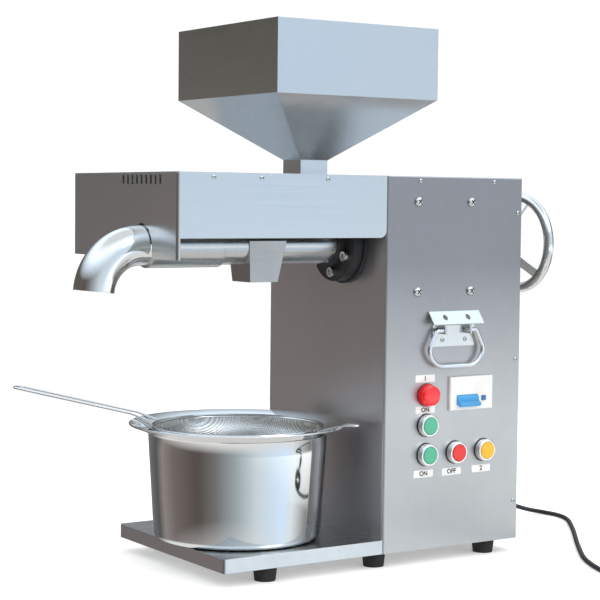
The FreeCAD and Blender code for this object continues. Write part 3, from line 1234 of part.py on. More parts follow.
def strainer_arm(azimuth, spacing, wire, tip_reach, tip_rise):
    """Loop of wire from the strainer's rim over the pot's brim; heights are over the rim."""
    turn = math.radians(azimuth)
    out = V(math.cos(turn), math.sin(turn), 0)
    across = V(-out.y, out.x, 0)
    middle = V(POT_X, POT_Y, brim_top() - STRAINER_SINK)
    slope = (STRAINER_SINK + wire + SEAT * 2) / (BRIM_RADIUS - STRAINER_RIM_RADIUS)
    bend_reach = BRIM_RADIUS + STRAINER_BEND_PAST
    bend_rise = slope * (bend_reach - STRAINER_RIM_RADIUS)

    def at(reach, side, rise):
        return middle + out * reach + across * (side * spacing / 2) + Z_AXIS * rise

    points = [at(STRAINER_RIM_RADIUS, -1, 0), at(bend_reach, -1, bend_rise),
              at(tip_reach, -1, tip_rise), at(tip_reach, 1, tip_rise),
              at(bend_reach, 1, bend_rise), at(STRAINER_RIM_RADIUS, 1, 0)]
    path, _ = rounded_path(points, [wire * 4, spacing * 0.45, spacing * 0.45, wire * 4])
    ring = wire_section(wire, WIRE_SIDES, points[0], (points[1] - points[0]).normalize())
    return path.makePipeShell([ring], True, False)


def strainer_frame():
    """Rim wire of the strainer with its long handle and, opposite, its short hook."""
    z = brim_top() - STRAINER_SINK
    section = [(STRAINER_RIM_RADIUS + STRAINER_WIRE * math.cos(a), z + STRAINER_WIRE * math.sin(a))
               for a in (2 * math.pi * (i + 0.5) / WIRE_SIDES for i in range(WIRE_SIDES))]
    arms = [strainer_arm(HANDLE_AZIMUTH, STRAINER_HANDLE_SPACING, STRAINER_HANDLE_WIRE,
                         STRAINER_TIP_REACH, STRAINER_TIP_RISE),
            strainer_arm(HANDLE_AZIMUTH + 180, HOOK_SPACING, HOOK_WIRE, HOOK_REACH, HOOK_RISE)]
    return fused([revolve_z(section, POT_X, POT_Y)] + arms)


# ---- power cord ------------------------------------------------------------------------------------------------------------------------------------------------
def cord_tube(points):
    """Plain tube along straight runs and tangent arcs as large as the runs allow."""
    points = [V(*p) for p in points]
    radii = []
    for i in range(1, len(points) - 1):
        before, after = points[i - 1] - points[i], points[i + 1] - points[i]
        turn = math.pi - before.getAngle(after)
        radii.append(0.45 * min(before.Length, after.Length) / math.tan(turn / 2))
    path, length = rounded_path(points, radii)
    ring = Part.Wire(Part.makeCircle(CORD_RADIUS, points[0], points[1] - points[0]))
    tube = path.makePipeShell([ring], True, False)
    expected = math.pi * CORD_RADIUS ** 2 * length
    print("cord radii", [round(r) for r in radii], "length", round(length),
          "volume ratio", round(tube.Volume / expected, 4))
    return tube


def coil_centre():
    x, y, z = CORD_ROUTE[-1]
    return V(x + coil_outer_line(), y, z)


def coil_outer_line():
    """Radius of the outermost turn's middle line."""
    return COIL_MEAN_RADIUS + (COIL_TURNS_ACROSS - 1) * CORD_RADIUS


def lead_points():
    """Short end of the cord, off the coil's top turn and along the floor to the plug."""
    middle = coil_centre()
    return [(middle.x + along, middle.y - coil_outer_line(), FLOOR + lift)
            for along, lift in PLUG_LEAD]


def power_cord():
    return [cord_tube(CORD_ROUTE), cord_tube(lead_points())]


def cord_coil():
    """Outer shape of the coiled rest of the cord."""
    middle = coil_centre()
    outer = coil_outer_line() + CORD_RADIUS
    inner = 2 * COIL_MEAN_RADIUS - outer
    z0, z1 = FLOOR, FLOOR + COIL_LAYERS * 2 * CORD_RADIUS
    ring = pipe(outer, inner, (middle.x, middle.y, z0), (middle.x, middle.y, z1))
    return bevelled(ring, CORD_RADIUS * 0.6, lambda c: True)


def power_plug():
    """Plain moulded plug with two flat pins, lying on the surface."""
    x1, y, z1 = lead_points()[-1]
    x2, x3 = x1 + PLUG_BOOT, x1 + PLUG_BOOT + PLUG_LENGTH
    z, top = FLOOR + PLUG_HEIGHT / 2, FLOOR + PLUG_HEIGHT
    boot = Part.makeCone(CORD_RADIUS, PLUG_HEIGHT / 2 - 1, PLUG_BOOT, V(x1, y, z1), X_AXIS)
    above = block(x1 - 1, x2 + 1, y - PLUG_WIDTH, y + PLUG_WIDTH, FLOOR, top)
    body = block(x2 - 2, x3, y - PLUG_WIDTH / 2, y + PLUG_WIDTH / 2, FLOOR, top)
    body = rounded(body, PLUG_CORNER, lambda c: True)
    pins = [block(x3 - 1, x3 + PIN_LENGTH, pin_y - PIN_THICK / 2, pin_y + PIN_THICK / 2,
                  z - PIN_WIDTH / 2, z + PIN_WIDTH / 2) for pin_y in centred(2, PIN_SPACING, y)]
    return fused([body, boot.common(above)] + pins)


def cable_gland():
    """Cord gland in the rear panel with its tapered strain relief."""
    x0, x1 = CABINET_LENGTH, GLAND_END
    profile = [(x0 - 12.0, 0), (x0 - 12.0, 10.0), (x0 - SHEET, 10.0), (x0 - SHEET, 7.0), (x0, 7.0),
               (x0, 11.0), (x0 + 5.0, 11.0), (x0 + 5.0, 9.0), (x0 + 11.0, 7.5), (x0 + 14.0, 5.5),
               (x1, CORD_RADIUS + 0.6), (x1, 0)]
    return revolve_x(profile, GLAND_Y, GLAND_Z)


# ---- assembly -----------------------------------------------------------------------------------------------------------------------------------------------------
CORD_NODES = ("power_cord", "cord_coil", "power_plug")


def assembly():
    """Every node's solids, in machine coordinates."""
    nodes = {
        "base_tray": base_tray(), "base_rails": base_rails(), "rubber_feet": rubber_feet(),
        "foot_screws": foot_screws(), "cabinet_wrap": cabinet_wrap(), "top_panel": top_panel(),
        "rear_panel": rear_panel(), "panel_screws": panel_screws(),
        "gearbox_screws": gearbox_screws(), "cover_wrap": cover_wrap(), "cover_top": cover_top(),
        "hopper": hopper(), "feed_inlet": feed_inlet(), "press_barrel": press_barrel(),
        "barrel_flange": barrel_flange(),
        "flange_bolts": flange_bolts(), "bearing_housing": bearing_housing(),
        "nozzle_ring": nozzle_ring(), "outlet_sleeve": outlet_sleeve(),
        "outlet_elbow": outlet_elbow(), "oil_chute": oil_chute(), "press_screw": press_screw(),
        "drive_shaft": drive_shaft(), "main_gear": main_gear(), "lay_gear": lay_gear(),
        "layshaft": layshaft(), "input_shaft": input_shaft(), "shaft_bearings": shaft_bearings(),
        "gearbox_housing": gearbox_housing(), "gearbox_cover": gearbox_cover(),
        "gearbox_brackets": gearbox_brackets(), "motor_body": motor_body(),
        "motor_mount": motor_mount(), "motor_shaft": motor_shaft(),
        "motor_pulley": motor_pulley(), "driven_pulley": driven_pulley(),
        "drive_belt": drive_belt(), "hand_wheel": hand_wheel(), "wheel_nut": wheel_nut(),
        "button_housings": button_housings(), "panel_gaskets": panel_gaskets(),
        "lamp_housing": lamp_housing(), "lamp_lens": lamp_lens(), "breaker_body": breaker_body(),
        "breaker_toggle": breaker_toggle(), "breaker_test_button": test_button(),
        "handle_plates": handle_plates(),
        "control_side_bail": bail(-1), "plain_side_bail": bail(1),
        "collecting_pot": collecting_pot(), "strainer_bowl": strainer_bowl(),
        "strainer_frame": strainer_frame(), "cable_gland": cable_gland(), "power_cord": power_cord(),
        "cord_coil": cord_coil(), "power_plug": power_plug(),
    }
    for name, x, z in button_places():
        nodes[name] = button_cap(x, z)
    return {name: Part.makeCompound(made) if isinstance(made, list) else made
            for name, made in nodes.items()}


def frame_shift(nodes):
    """Moves the origin to the floor under the middle of the press, its cord left out."""
    boxes = [nodes[n].optimalBoundingBox(False, False) for n in nodes if n not in CORD_NODES]
    x = (min(b.XMin for b in boxes) + max(b.XMax for b in boxes)) / 2
    y = (min(b.YMin for b in boxes) + max(b.YMax for b in boxes)) / 2
    return V(-x, -y, FOOT_HEIGHT)


def main():
    os.makedirs("parts", exist_ok=True)
    nodes = assembly()
    shift = frame_shift(nodes)
    for name, shape in nodes.items():
        shape.translate(shift)
        shape.exportStep("parts/" + name + ".step")
    print("origin moved by", round(-shift.x, 3), round(-shift.y, 3), round(-shift.z, 3))


main()
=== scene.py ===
import math

import bpy
from mathutils import Matrix, Vector


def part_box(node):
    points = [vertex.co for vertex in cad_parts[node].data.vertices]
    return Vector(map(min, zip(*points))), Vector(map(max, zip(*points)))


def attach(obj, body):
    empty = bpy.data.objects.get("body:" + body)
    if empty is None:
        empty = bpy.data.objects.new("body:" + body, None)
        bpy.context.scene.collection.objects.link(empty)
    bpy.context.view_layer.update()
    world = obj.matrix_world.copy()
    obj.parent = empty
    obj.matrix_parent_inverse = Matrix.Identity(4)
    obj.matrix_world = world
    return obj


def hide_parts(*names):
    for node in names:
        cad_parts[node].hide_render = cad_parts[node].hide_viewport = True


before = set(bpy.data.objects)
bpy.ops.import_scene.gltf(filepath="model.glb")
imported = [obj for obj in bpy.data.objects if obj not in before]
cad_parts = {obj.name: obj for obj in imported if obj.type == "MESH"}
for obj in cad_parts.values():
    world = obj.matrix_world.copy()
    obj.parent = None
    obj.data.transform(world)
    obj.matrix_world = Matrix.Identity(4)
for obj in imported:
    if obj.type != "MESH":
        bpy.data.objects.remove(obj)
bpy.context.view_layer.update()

MM = 0.001
UP = Vector((0, 0, 1))
cabinet_low, cabinet_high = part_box("cabinet_wrap")
# The machine's own zero: the cabinet's front face, its middle and the tray's lower edge.
ZERO = Vector((cabinet_low.x, (cabinet_low.y + cabinet_high.y) / 2, cabinet_low.z))


def at(x, y, z):
    """A point given in millimetres from the machine's zero, in the row frame."""
    return ZERO + Vector((x, y, z)) * MM


# ---- camera ------------------------------------------------------------------
def add_camera():
    azimuth, pitch, roll = (math.radians(a) for a in (-33.34, 3.27, 0.59))
    back = Vector((math.sin(azimuth) * math.cos(pitch), -math.cos(azimuth) * math.cos(pitch),
                   math.sin(pitch)))
    right = Vector((math.cos(azimuth), math.sin(azimuth), 0))
    up = back.cross(right)
    target = ZERO + right * -0.0338 + UP * 0.3240
    side = right * math.cos(roll) + up * math.sin(roll)
    top = up * math.cos(roll) - right * math.sin(roll)
    camera = bpy.data.objects.new("camera", bpy.data.cameras.new("camera"))
    camera.data.sensor_width = 36.0
    camera.data.lens = 103.23
    camera.data.clip_end = 100.0
    camera.matrix_world = Matrix.Translation(target + back * 2.3373) @ Matrix(
        (side, top, back)).transposed().to_4x4()
    bpy.context.scene.collection.objects.link(camera)
    bpy.context.scene.camera = camera


# ---- mesh helpers --------------------------------------------------------------
def link(name, mesh, body, replaced=()):
    """Adds a finished mesh as a piece that rides on a CAD body."""
    piece = bpy.data.objects.new(name, mesh)
    bpy.context.scene.collection.objects.link(piece)
    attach(piece, body)
    if replaced:
        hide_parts(*replaced)
    return piece


def as_mesh(name, vertices, faces, smooth_angle=35):
    mesh = bpy.data.meshes.new(name)
    mesh.from_pydata([tuple(v) for v in vertices], [], faces)
    mesh.validate()
    mesh.update()
    mesh.shade_smooth()
    mesh.set_sharp_from_angle(angle=math.radians(smooth_angle))
    return mesh


def joined(lists):
    """Joins (vertices, faces) pairs into one pair."""
    vertices, faces = [], []
    for more_vertices, more_faces in lists:
        base = len(vertices)
        vertices += list(more_vertices)
        faces += [tuple(i + base for i in face) for face in more_faces]
    return vertices, faces


def basis(direction):
    """Two directions square to this one."""
    direction = direction.normalized()
    side = direction.orthogonal().normalized()
    return side, direction.cross(side)


def lathe(centre, axis, profile, steps=96):
    """Turns (distance along the axis, radius) pairs, in mm, about the axis; closed at radius 0."""
    axis = axis.normalized()
    side, other = basis(axis)
    vertices, rings = [], []
    for along, radius in profile:
        if radius == 0:
            rings.append([len(vertices)])
            vertices.append(centre + axis * along * MM)
            continue
        rings.append(list(range(len(vertices), len(vertices) + steps)))
        for i in range(steps):
            turn = 2 * math.pi * i / steps
            spoke = side * math.cos(turn) + other * math.sin(turn)
            vertices.append(centre + axis * along * MM + spoke * radius * MM)
    faces = []
    for a, b in zip(rings, rings[1:]):
        for i in range(steps):
            j = (i + 1) % steps
            if len(a) == 1:
                faces.append((a[0], b[j], b[i]))
            elif len(b) == 1:
                faces.append((a[i], a[j], b[0]))
            else:
                faces.append((a[i], a[j], b[j], b[i]))
    return vertices, faces


def tube(points, radius, closed=False, steps=20):
    """Round wire of a radius in mm along points, with flat ends unless it is closed."""
    count = len(points)
    vertices, faces = [], []
    normal = None
    for i, point in enumerate(points):
        ahead = points[(i + 1) % count] if closed or i < count - 1 else point
        behind = points[i - 1] if closed or i > 0 else point
        along = (ahead - behind).normalized()
        if normal is None:
            normal = along.orthogonal().normalized()
        normal = (normal - along * normal.dot(along)).normalized()
        other = along.cross(normal)
        for k in range(steps):
            turn = 2 * math.pi * k / steps
            vertices.append(point + (normal * math.cos(turn) + other * math.sin(turn)) * radius * MM)
    for i in range(count if closed else count - 1):
        a, b = i * steps, ((i + 1) % count) * steps
        shift = 0
        if closed and i == count - 1:
            shift = min(range(steps), key=lambda s: (vertices[a] - vertices[b + s]).length)
        for k in range(steps):
            m = (k + 1) % steps
            faces.append((a + k, a + m, b + (m + shift) % steps, b + (k + shift) % steps))
    if not closed:
        last = (count - 1) * steps
        faces += [tuple(range(steps))[::-1], tuple(range(last, last + steps))]
    return vertices, faces


def bent_line(corners, radii, step=2.5):
    """Points along straight runs joined by arcs of the given radii in mm."""
    line = [corners[0]]
    for i, radius in enumerate(radii, 1):
        before = (corners[i - 1] - corners[i]).normalized()
        after = (corners[i + 1] - corners[i]).normalized()
        turn = math.pi - before.angle(after)
        radius *= MM
        reach = radius * math.tan(turn / 2)
        start = corners[i] + before * reach
        centre = corners[i] + (before + after).normalized() * radius / math.cos(turn / 2)
        count = max(3, math.ceil(math.degrees(turn) / step / 2))
        spoke, hinge = start - centre, before.cross(after).normalized()
        for k in range(count + 1):
            line.append(centre + Matrix.Rotation(turn * k / count, 3, -hinge) @ spoke)
    line.append(corners[-1])
    return line


def rounded_slab(centre, half, radius, front, depth, steps=6, bevel=0.6):
    """Plate with rounded corners, seen from -Y: half sizes and radii in mm, front at -Y."""
    outline = []
    for cx, cz, start in ((1, 1, 0), (-1, 1, 90), (-1, -1, 180), (1, -1, 270)):
        for i in range(steps + 1):
            turn = math.radians(start + 90 * i / steps)
            outline.append((cx * (half[0] - radius), cz * (half[1] - radius), math.cos(turn),
                            math.sin(turn)))
    levels = ((front + depth, 0), (front + bevel, 0), (front + bevel * 0.3, bevel * 0.3),
              (front, bevel))
    vertices = []
    for y, inset in levels:
        for x, z, c, s in outline:
            vertices.append(centre + Vector((x + (radius - inset) * c, y,
                                             z + (radius - inset) * s)) * MM)
    count = len(outline)
    faces = [tuple(range(count)), tuple(range(3 * count, 4 * count))[::-1]]
    for level in range(3):
        for i in range(count):
            j = (i + 1) % count
            faces.append((level * count + j, level * count + i, (level + 1) * count + i,
                          (level + 1) * count + j))
    return vertices, faces


# ---- cord ------------------------------------------------------------------------
CORD_DIAMETER = 6.5
CORD_ROUTE = (
    (264.0, 62.0, 46.0), (290.0, 62.0, 45.0), (316.0, 63.0, 40.0), (344.0, 66.0, 26.0),
    (372.0, 70.0, 9.0), (400.0, 72.0, -3.0), (428.0, 66.0, -12.0), (446.0, 46.0, -14.75),
    (448.0, 16.0, -14.75), (436.0, -14.0, -14.75), (414.0, -44.0, -14.75),
    (388.0, -78.0, -14.75), (359.0, -114.0, -14.75), (326.0, -154.0, -14.75),
    (290.0, -200.0, -14.75), (260.0, -240.0, -14.75), (238.0, -282.0, -14.75),
    (223.0, -322.0, -14.75), (214.0, -358.0, -14.75), (214.0, -390.0, -14.75),
)
COIL_RADII = (44.5, 31.5)
COIL_TURNS = 4.25
COIL_LEVEL = -14.75
LEAD = ((22.0, -8.4), (42.0, -12.2), (60.0, -14.75), (78.0, -14.75))


def cord_line():
    """The whole cord: the visible route, a flat coil in two layers, and the lead to the plug."""
    points = [at(*p) for p in CORD_ROUTE]
    x, y = CORD_ROUTE[-1][:2]
    outer, inner = COIL_RADII
    steps = round(COIL_TURNS * 16)
    for i in range(1, steps + 1):
        share = i / steps
        fold = 1 - abs(2 * share - 1)
        radius = outer + (inner - outer) * fold
        level = COIL_LEVEL + CORD_DIAMETER * min(1, max(0, (share - 0.44) / 0.12))
        turn = math.radians(180) + 2 * math.pi * COIL_TURNS * share
        points.append(at(x + outer + radius * math.cos(turn), y + radius * math.sin(turn), level))
    for along, height in LEAD:
        points.append(at(x + outer + along, y - outer, height))
    return points


def add_cord():
    curve = bpy.data.curves.new("power_cord_line", "CURVE")
    curve.dimensions = "3D"
    curve.bevel_depth = 1.0
    curve.bevel_resolution = 6
    curve.resolution_u = 6
    curve.use_fill_caps = True
    line = cord_line()
    spline = curve.splines.new("NURBS")
    spline.points.add(len(line) - 1)
    for point, place in zip(spline.points, line):
        point.co = (*place, 1.0)
        point.radius = CORD_DIAMETER / 2 * MM
    spline.order_u = 3
    spline.use_endpoint_u = True
    cord = bpy.data.objects.new("mains_cord", curve)
    bpy.context.scene.collection.objects.link(cord)
    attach(cord, "press_frame")
    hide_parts("power_cord", "cord_coil")
    return cord


# ---- materials ---------------------------------------------------------------------
class Nodes:
    """Small helper that adds and joins shader nodes."""

    def __init__(self, name):
        self.material = bpy.data.materials.new(name)
        self.material.use_nodes = True
        self.tree = self.material.node_tree
        self.shader = self.tree.nodes["Principled BSDF"]

    def add(self, kind, inputs=(), **settings):
        node = self.tree.nodes.new(kind)
        for key, value in settings.items():
            setattr(node, key, value)
        for socket, value in inputs:
            if isinstance(value, bpy.types.NodeSocket):
                self.tree.links.new(value, node.inputs[socket])
            else:
                node.inputs[socket].default_value = value
        return node

    def put(self, socket, value):
        if isinstance(value, bpy.types.NodeSocket):
            self.tree.links.new(value, self.shader.inputs[socket])
        else:
            self.shader.inputs[socket].default_value = value

    def place(self):
        return self.add("ShaderNodeTexCoord").outputs["Object"]

    def noise(self, scale, detail=2.0, roughness=0.5):
        mapping = self.add("ShaderNodeMapping", [("Vector", self.place()), ("Scale", scale)])
        return self.add("ShaderNodeTexNoise", [("Vector", mapping.outputs["Vector"]),
                                               ("Scale", 1.0), ("Detail", detail),
                                               ("Roughness", roughness)]).outputs["Fac"]

    def ranged(self, value, low, high, from_low=0.3, from_high=0.7):
        return self.add("ShaderNodeMapRange", [("Value", value), ("From Min", from_low),
                                               ("From Max", from_high), ("To Min", low),
                                               ("To Max", high)]).outputs["Result"]

    def blend(self, fac, first, second):
        node = self.add("ShaderNodeMix", data_type="RGBA")
        self.tree.links.new(fac, node.inputs["Factor"])
        for socket, value in (("A", first), ("B", second)):
            target = [s for s in node.inputs if s.name == socket and s.type == "RGBA"][0]
            if isinstance(value, bpy.types.NodeSocket):
                self.tree.links.new(value, target)
            else:
                target.default_value = (*value, 1.0)
        return [s for s in node.outputs if s.type == "RGBA"][0]

    def darker(self, colour, share):
        """A colour, or a socket that gives one, times a share."""
        if not isinstance(colour, bpy.types.NodeSocket):
            return tuple(c * share for c in colour)
        whole = self.add("ShaderNodeVectorMath", [(0, colour), (1, (share, share, share))],
                         operation="MULTIPLY")
        return whole.outputs["Vector"]


def cabinet_painted_reflection(n):
    """Painted reflection on the cabinet's sheet: brightest on the front faces, and on the panel's side
    lighter towards its foot and darker towards its top.
    """
    facing = n.add("ShaderNodeSeparateXYZ",
                   [("Vector", n.add("ShaderNodeTexCoord").outputs["Normal"])])
    height = n.add("ShaderNodeSeparateXYZ", [("Vector", n.place())]).outputs["Z"]
    # painted reflection: the side panel's colour goes from light at the foot to dark higher up
    panel = n.blend(n.ranged(height, 0.0, 1.0, ZERO.z + 0.18, ZERO.z + 0.38), (0.62, 0.60, 0.575),
                    (0.31, 0.30, 0.31))
    # painted light: the front faces get a lighter copy of the steel than the other faces
    others = n.blend(n.ranged(facing.outputs["X"], 1.0, 0.0, -0.8, -0.5), (0.46, 0.46, 0.47),
                     (0.70, 0.68, 0.69))
    return n.blend(n.ranged(facing.outputs["Y"], 1.0, 0.0, -0.8, -0.5), others, panel)


def metal(name, colour, roughness, grain, grain_depth=0.12, mottle=0.06, edge=0.0006, dark=0.86):
    """Steel with a drawn grain, faint smears and softened edges; grain is the noise's scale.

    The colour is three numbers, or a function that makes a socket.
    """
    n = Nodes(name)
    colour = colour(n) if callable(colour) else colour
    lines = n.noise(grain, 3.0, 0.6)
    broad = n.noise((7.0, 7.0, 7.0), 3.0, 0.6)
    fine = n.noise((60.0, 60.0, 60.0), 2.0, 0.5)
    toned = n.blend(n.ranged(lines, 0.0, 1.0), n.darker(colour, dark), colour)
    n.put("Base Color", n.blend(n.ranged(broad, 0.0, 0.35), toned,
                                n.darker(colour, 1 - mottle * 2)))
    n.put("Metallic", 1.0)
    spread = n.add("ShaderNodeMath", [(0, n.ranged(lines, roughness * 0.85, roughness * 1.15)),
                                      (1, n.ranged(fine, -mottle / 2, mottle / 2))],
                   operation="ADD")
    smeared = n.add("ShaderNodeMath", [(0, spread.outputs[0]),
                                       (1, n.ranged(broad, -mottle, mottle))],
                    operation="ADD", use_clamp=True)
    n.put("Roughness", smeared.outputs[0])
    soft = n.add("ShaderNodeBevel", [("Radius", edge)], samples=4)
    bump = n.add("ShaderNodeBump", [("Strength", grain_depth), ("Distance", 0.0002),
                                    ("Height", lines), ("Normal", soft.outputs["Normal"])])
    n.put("Normal", bump.outputs["Normal"])
    return n.material


def plain(name, colour, roughness, grit=0.05, metallic=0.0, coat=0.0, scale=240.0, edge=0.0004):
    """Plastic, rubber or paint with a fine surface and uneven gloss."""
    n = Nodes(name)
    fine = n.noise((scale, scale, scale), 3.0, 0.6)
    broad = n.noise((14.0, 14.0, 14.0), 3.0, 0.6)
    n.put("Base Color", n.blend(n.ranged(broad, 0.0, 1.0), tuple(c * 0.86 for c in colour), colour))
    n.put("Metallic", metallic)
    n.put("Roughness", n.ranged(broad, max(0.02, roughness - 0.06), roughness + 0.08))
    n.put("Coat Weight", coat)
    soft = n.add("ShaderNodeBevel", [("Radius", edge)], samples=4)
    bump = n.add("ShaderNodeBump", [("Strength", grit), ("Distance", 0.0003), ("Height", fine),
                                    ("Normal", soft.outputs["Normal"])])
    n.put("Normal", bump.outputs["Normal"])
    return n.material


def lens_material():
    n = Nodes("lamp_red_plastic")
    rings = n.noise((300.0, 300.0, 300.0), 1.0)
    n.put("Base Color", (0.80, 0.012, 0.02, 1.0))
    n.put("Roughness", n.ranged(rings, 0.12, 0.2))
    n.put("Transmission Weight", 0.25)
    n.put("Coat Weight", 0.6)
    n.put("Emission Color", (0.9, 0.02, 0.02, 1.0))
    n.put("Emission Strength", 0.12)
    return n.material


def mesh_cloth():
    """Woven wire cloth: two sets of round wires with open squares between them."""
    n = Nodes("woven_wire")
    split = n.add("ShaderNodeSeparateXYZ", [("Vector", n.place())])
    waves = []
    for axis in ("X", "Y"):
        turned = n.add("ShaderNodeMath", [(0, split.outputs[axis]), (1, MESH_WIRES_PER_M)],
                       operation="MULTIPLY")
        waves.append(n.add("ShaderNodeMath", [(0, turned.outputs[0])], operation="PINGPONG"))
        waves[-1].inputs[1].default_value = 0.5
    wire = n.add("ShaderNodeMath", [(0, waves[0].outputs[0]), (1, waves[1].outputs[0])],
                 operation="MINIMUM")
    open_square = n.add("ShaderNodeMath", [(0, wire.outputs[0]), (1, 0.24)],
                        operation="GREATER_THAN")
    see_through = n.add("ShaderNodeMath", [(0, open_square.outputs[0]), (1, 0.75)],
                        operation="MULTIPLY")
    solid = n.add("ShaderNodeMath", [(0, 1.0), (1, see_through.outputs[0])], operation="SUBTRACT")
    n.put("Alpha", solid.outputs[0])
    n.put("Base Color", (0.88, 0.87, 0.84, 1.0))
    n.put("Metallic", 1.0)
    n.put("Roughness", n.ranged(n.noise((90.0, 90.0, 90.0)), 0.26, 0.42))
    bump = n.add("ShaderNodeBump", [("Strength", 0.6), ("Distance", 0.0004),
                                    ("Height", wire.outputs[0])], invert=True)
    n.put("Normal", bump.outputs["Normal"])
    return n.material


MESH_WIRES_PER_M = 620.0
STEEL = (0.60, 0.61, 0.61)
GRAIN_UPRIGHT = (900.0, 900.0, 5.0)
GRAIN_LEVEL = (5.0, 5.0, 900.0)
GRAIN_ALONG_X = (5.0, 900.0, 900.0)
GRAIN_FINE = (260.0, 260.0, 260.0)


def make_materials():
    return {
        # painted reflection: the cabinet's steel is coloured lighter or darker by facing and height
        "sheet_upright": metal("sheet_upright", cabinet_painted_reflection, 0.40, GRAIN_UPRIGHT, 0.10, 0.04,
                               dark=0.90),
        "sheet_level": metal("sheet_level", STEEL, 0.22, GRAIN_LEVEL, 0.03, 0.03, dark=0.96),
        "sheet_dull": metal("sheet_dull", (0.42, 0.42, 0.41), 0.36, GRAIN_LEVEL, 0.06, 0.04,
                            dark=0.94),
        "sheet_flat": metal("sheet_flat", STEEL, 0.26, GRAIN_ALONG_X, 0.06, 0.04, dark=0.94),
        "polished": metal("polished", (0.78, 0.77, 0.75), 0.10, GRAIN_FINE, 0.02, 0.02, dark=0.97),
        "mirror": metal("mirror", (0.80, 0.80, 0.79), 0.06, GRAIN_LEVEL, 0.01, 0.015, dark=0.98),
        "turned": metal("turned", (0.56, 0.56, 0.55), 0.22, (700.0, 30.0, 30.0), 0.06, 0.04,
                        dark=0.93),
        "zinc": metal("zinc", (0.70, 0.70, 0.68), 0.24, GRAIN_FINE, 0.05, 0.04, dark=0.95),
        "chrome": metal("chrome", (0.78, 0.78, 0.79), 0.08, GRAIN_FINE, 0.01, 0.02, dark=0.97),
        "gear_steel": metal("gear_steel", (0.42, 0.42, 0.43), 0.35, GRAIN_FINE, 0.15, 0.06),
        "black_casting": plain("black_casting", (0.018, 0.018, 0.02), 0.42, 0.30, scale=420.0),
        "grey_casting": plain("grey_casting", (0.16, 0.17, 0.18), 0.55, 0.35, scale=420.0),
        "motor_paint": plain("motor_paint", (0.05, 0.09, 0.13), 0.45, 0.12, coat=0.2),
        "feet_rubber": plain("feet_rubber", (0.012, 0.011, 0.011), 0.72, 0.30, scale=500.0),
        "black_plastic": plain("black_plastic", (0.014, 0.014, 0.015), 0.42, 0.15),
        "green_plastic": plain("green_plastic", (0.08, 0.44, 0.27), 0.30, 0.03, coat=0.3),
        "red_plastic": plain("red_plastic", (0.74, 0.022, 0.014), 0.30, 0.03, coat=0.3),
        "yellow_plastic": plain("yellow_plastic", (0.90, 0.46, 0.008), 0.30, 0.03, coat=0.3),
        "white_plastic": plain("white_plastic", (0.84, 0.84, 0.83), 0.38, 0.05),
        "blue_plastic": plain("blue_plastic", (0.02, 0.17, 0.46), 0.34, 0.04),
        "light_blue": plain("light_blue", (0.04, 0.33, 0.68), 0.30, 0.03, coat=0.3),
        "cord_rubber": plain("cord_rubber", (0.012, 0.012, 0.013), 0.46, 0.10),
        "label": plain("label", (0.88, 0.88, 0.87), 0.40, 0.03),
        "print": plain("print", (0.03, 0.03, 0.033), 0.5, 0.02),
        # painted shade: near-black for the shade inside screw recesses
        "painted_recess_shade": plain("painted_recess_shade", (0.004, 0.004, 0.004), 0.8, 0.02),
        "lens": lens_material(),
        "cloth": mesh_cloth(),
    }


CAD_LOOKS = {
    "sheet_upright": ("cabinet_wrap", "rear_panel"),
    "sheet_level": ("cover_wrap", "hopper"),
    "sheet_dull": ("oil_chute",),
    "sheet_flat": ("top_panel", "cover_top", "base_tray"),
    "turned": ("press_barrel", "outlet_sleeve", "nozzle_ring", "feed_inlet", "press_screw",
               "drive_shaft", "motor_shaft"),
    "zinc": ("base_rails", "foot_screws", "panel_screws", "gearbox_screws", "flange_bolts",
             "gearbox_brackets", "motor_mount", "wheel_nut", "handle_plates",
             "control_side_bail", "plain_side_bail"),
    "polished": ("outlet_elbow", "hand_wheel", "strainer_frame"),
    "mirror": ("collecting_pot",),
    "chrome": ("button_housings",),
    "gear_steel": ("main_gear", "lay_gear", "layshaft", "input_shaft", "shaft_bearings"),
    "black_casting": ("bearing_housing", "barrel_flange"),
    "grey_casting": ("gearbox_housing", "gearbox_cover", "driven_pulley", "motor_pulley"),
    "motor_paint": ("motor_body",),
    "feet_rubber": ("rubber_feet", "drive_belt"),
    "black_plastic": ("panel_gaskets", "power_plug", "cable_gland"),
    "white_plastic": ("breaker_body",),
    "blue_plastic": ("breaker_test_button",),
    "light_blue": ("breaker_toggle",),
    "green_plastic": ("upper_green_button", "lower_green_button"),
    "red_plastic": ("red_button",),
    "yellow_plastic": ("yellow_button",),
    "lens": ("lamp_lens", "lamp_housing"),
    "cloth": ("strainer_bowl",),
    "cord_rubber": ("power_cord", "cord_coil"),
}


def dress_cad(looks):
    for look, nodes in CAD_LOOKS.items():
        for node in nodes:
            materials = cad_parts[node].data.materials
            materials.clear()
            materials.append(looks[look])


def wear(piece, look):
    piece.data.materials.append(look)
    return piece


# ---- pieces built over the CAD ------------------------------------------------------
WHEEL_RIM = 7.0             # radius of the rim's round section, in mm
WHEEL_DISH = 36.0           # the hub's middle stands this far in front of the rim's
WHEEL_HUB = ((-14, 0), (-14, 14), (-12.5, 16.5), (-4, 17), (12.5, 17), (14, 15.5), (14, 0))
FIRST_SPOKE = 105           # degrees from +Y towards +Z


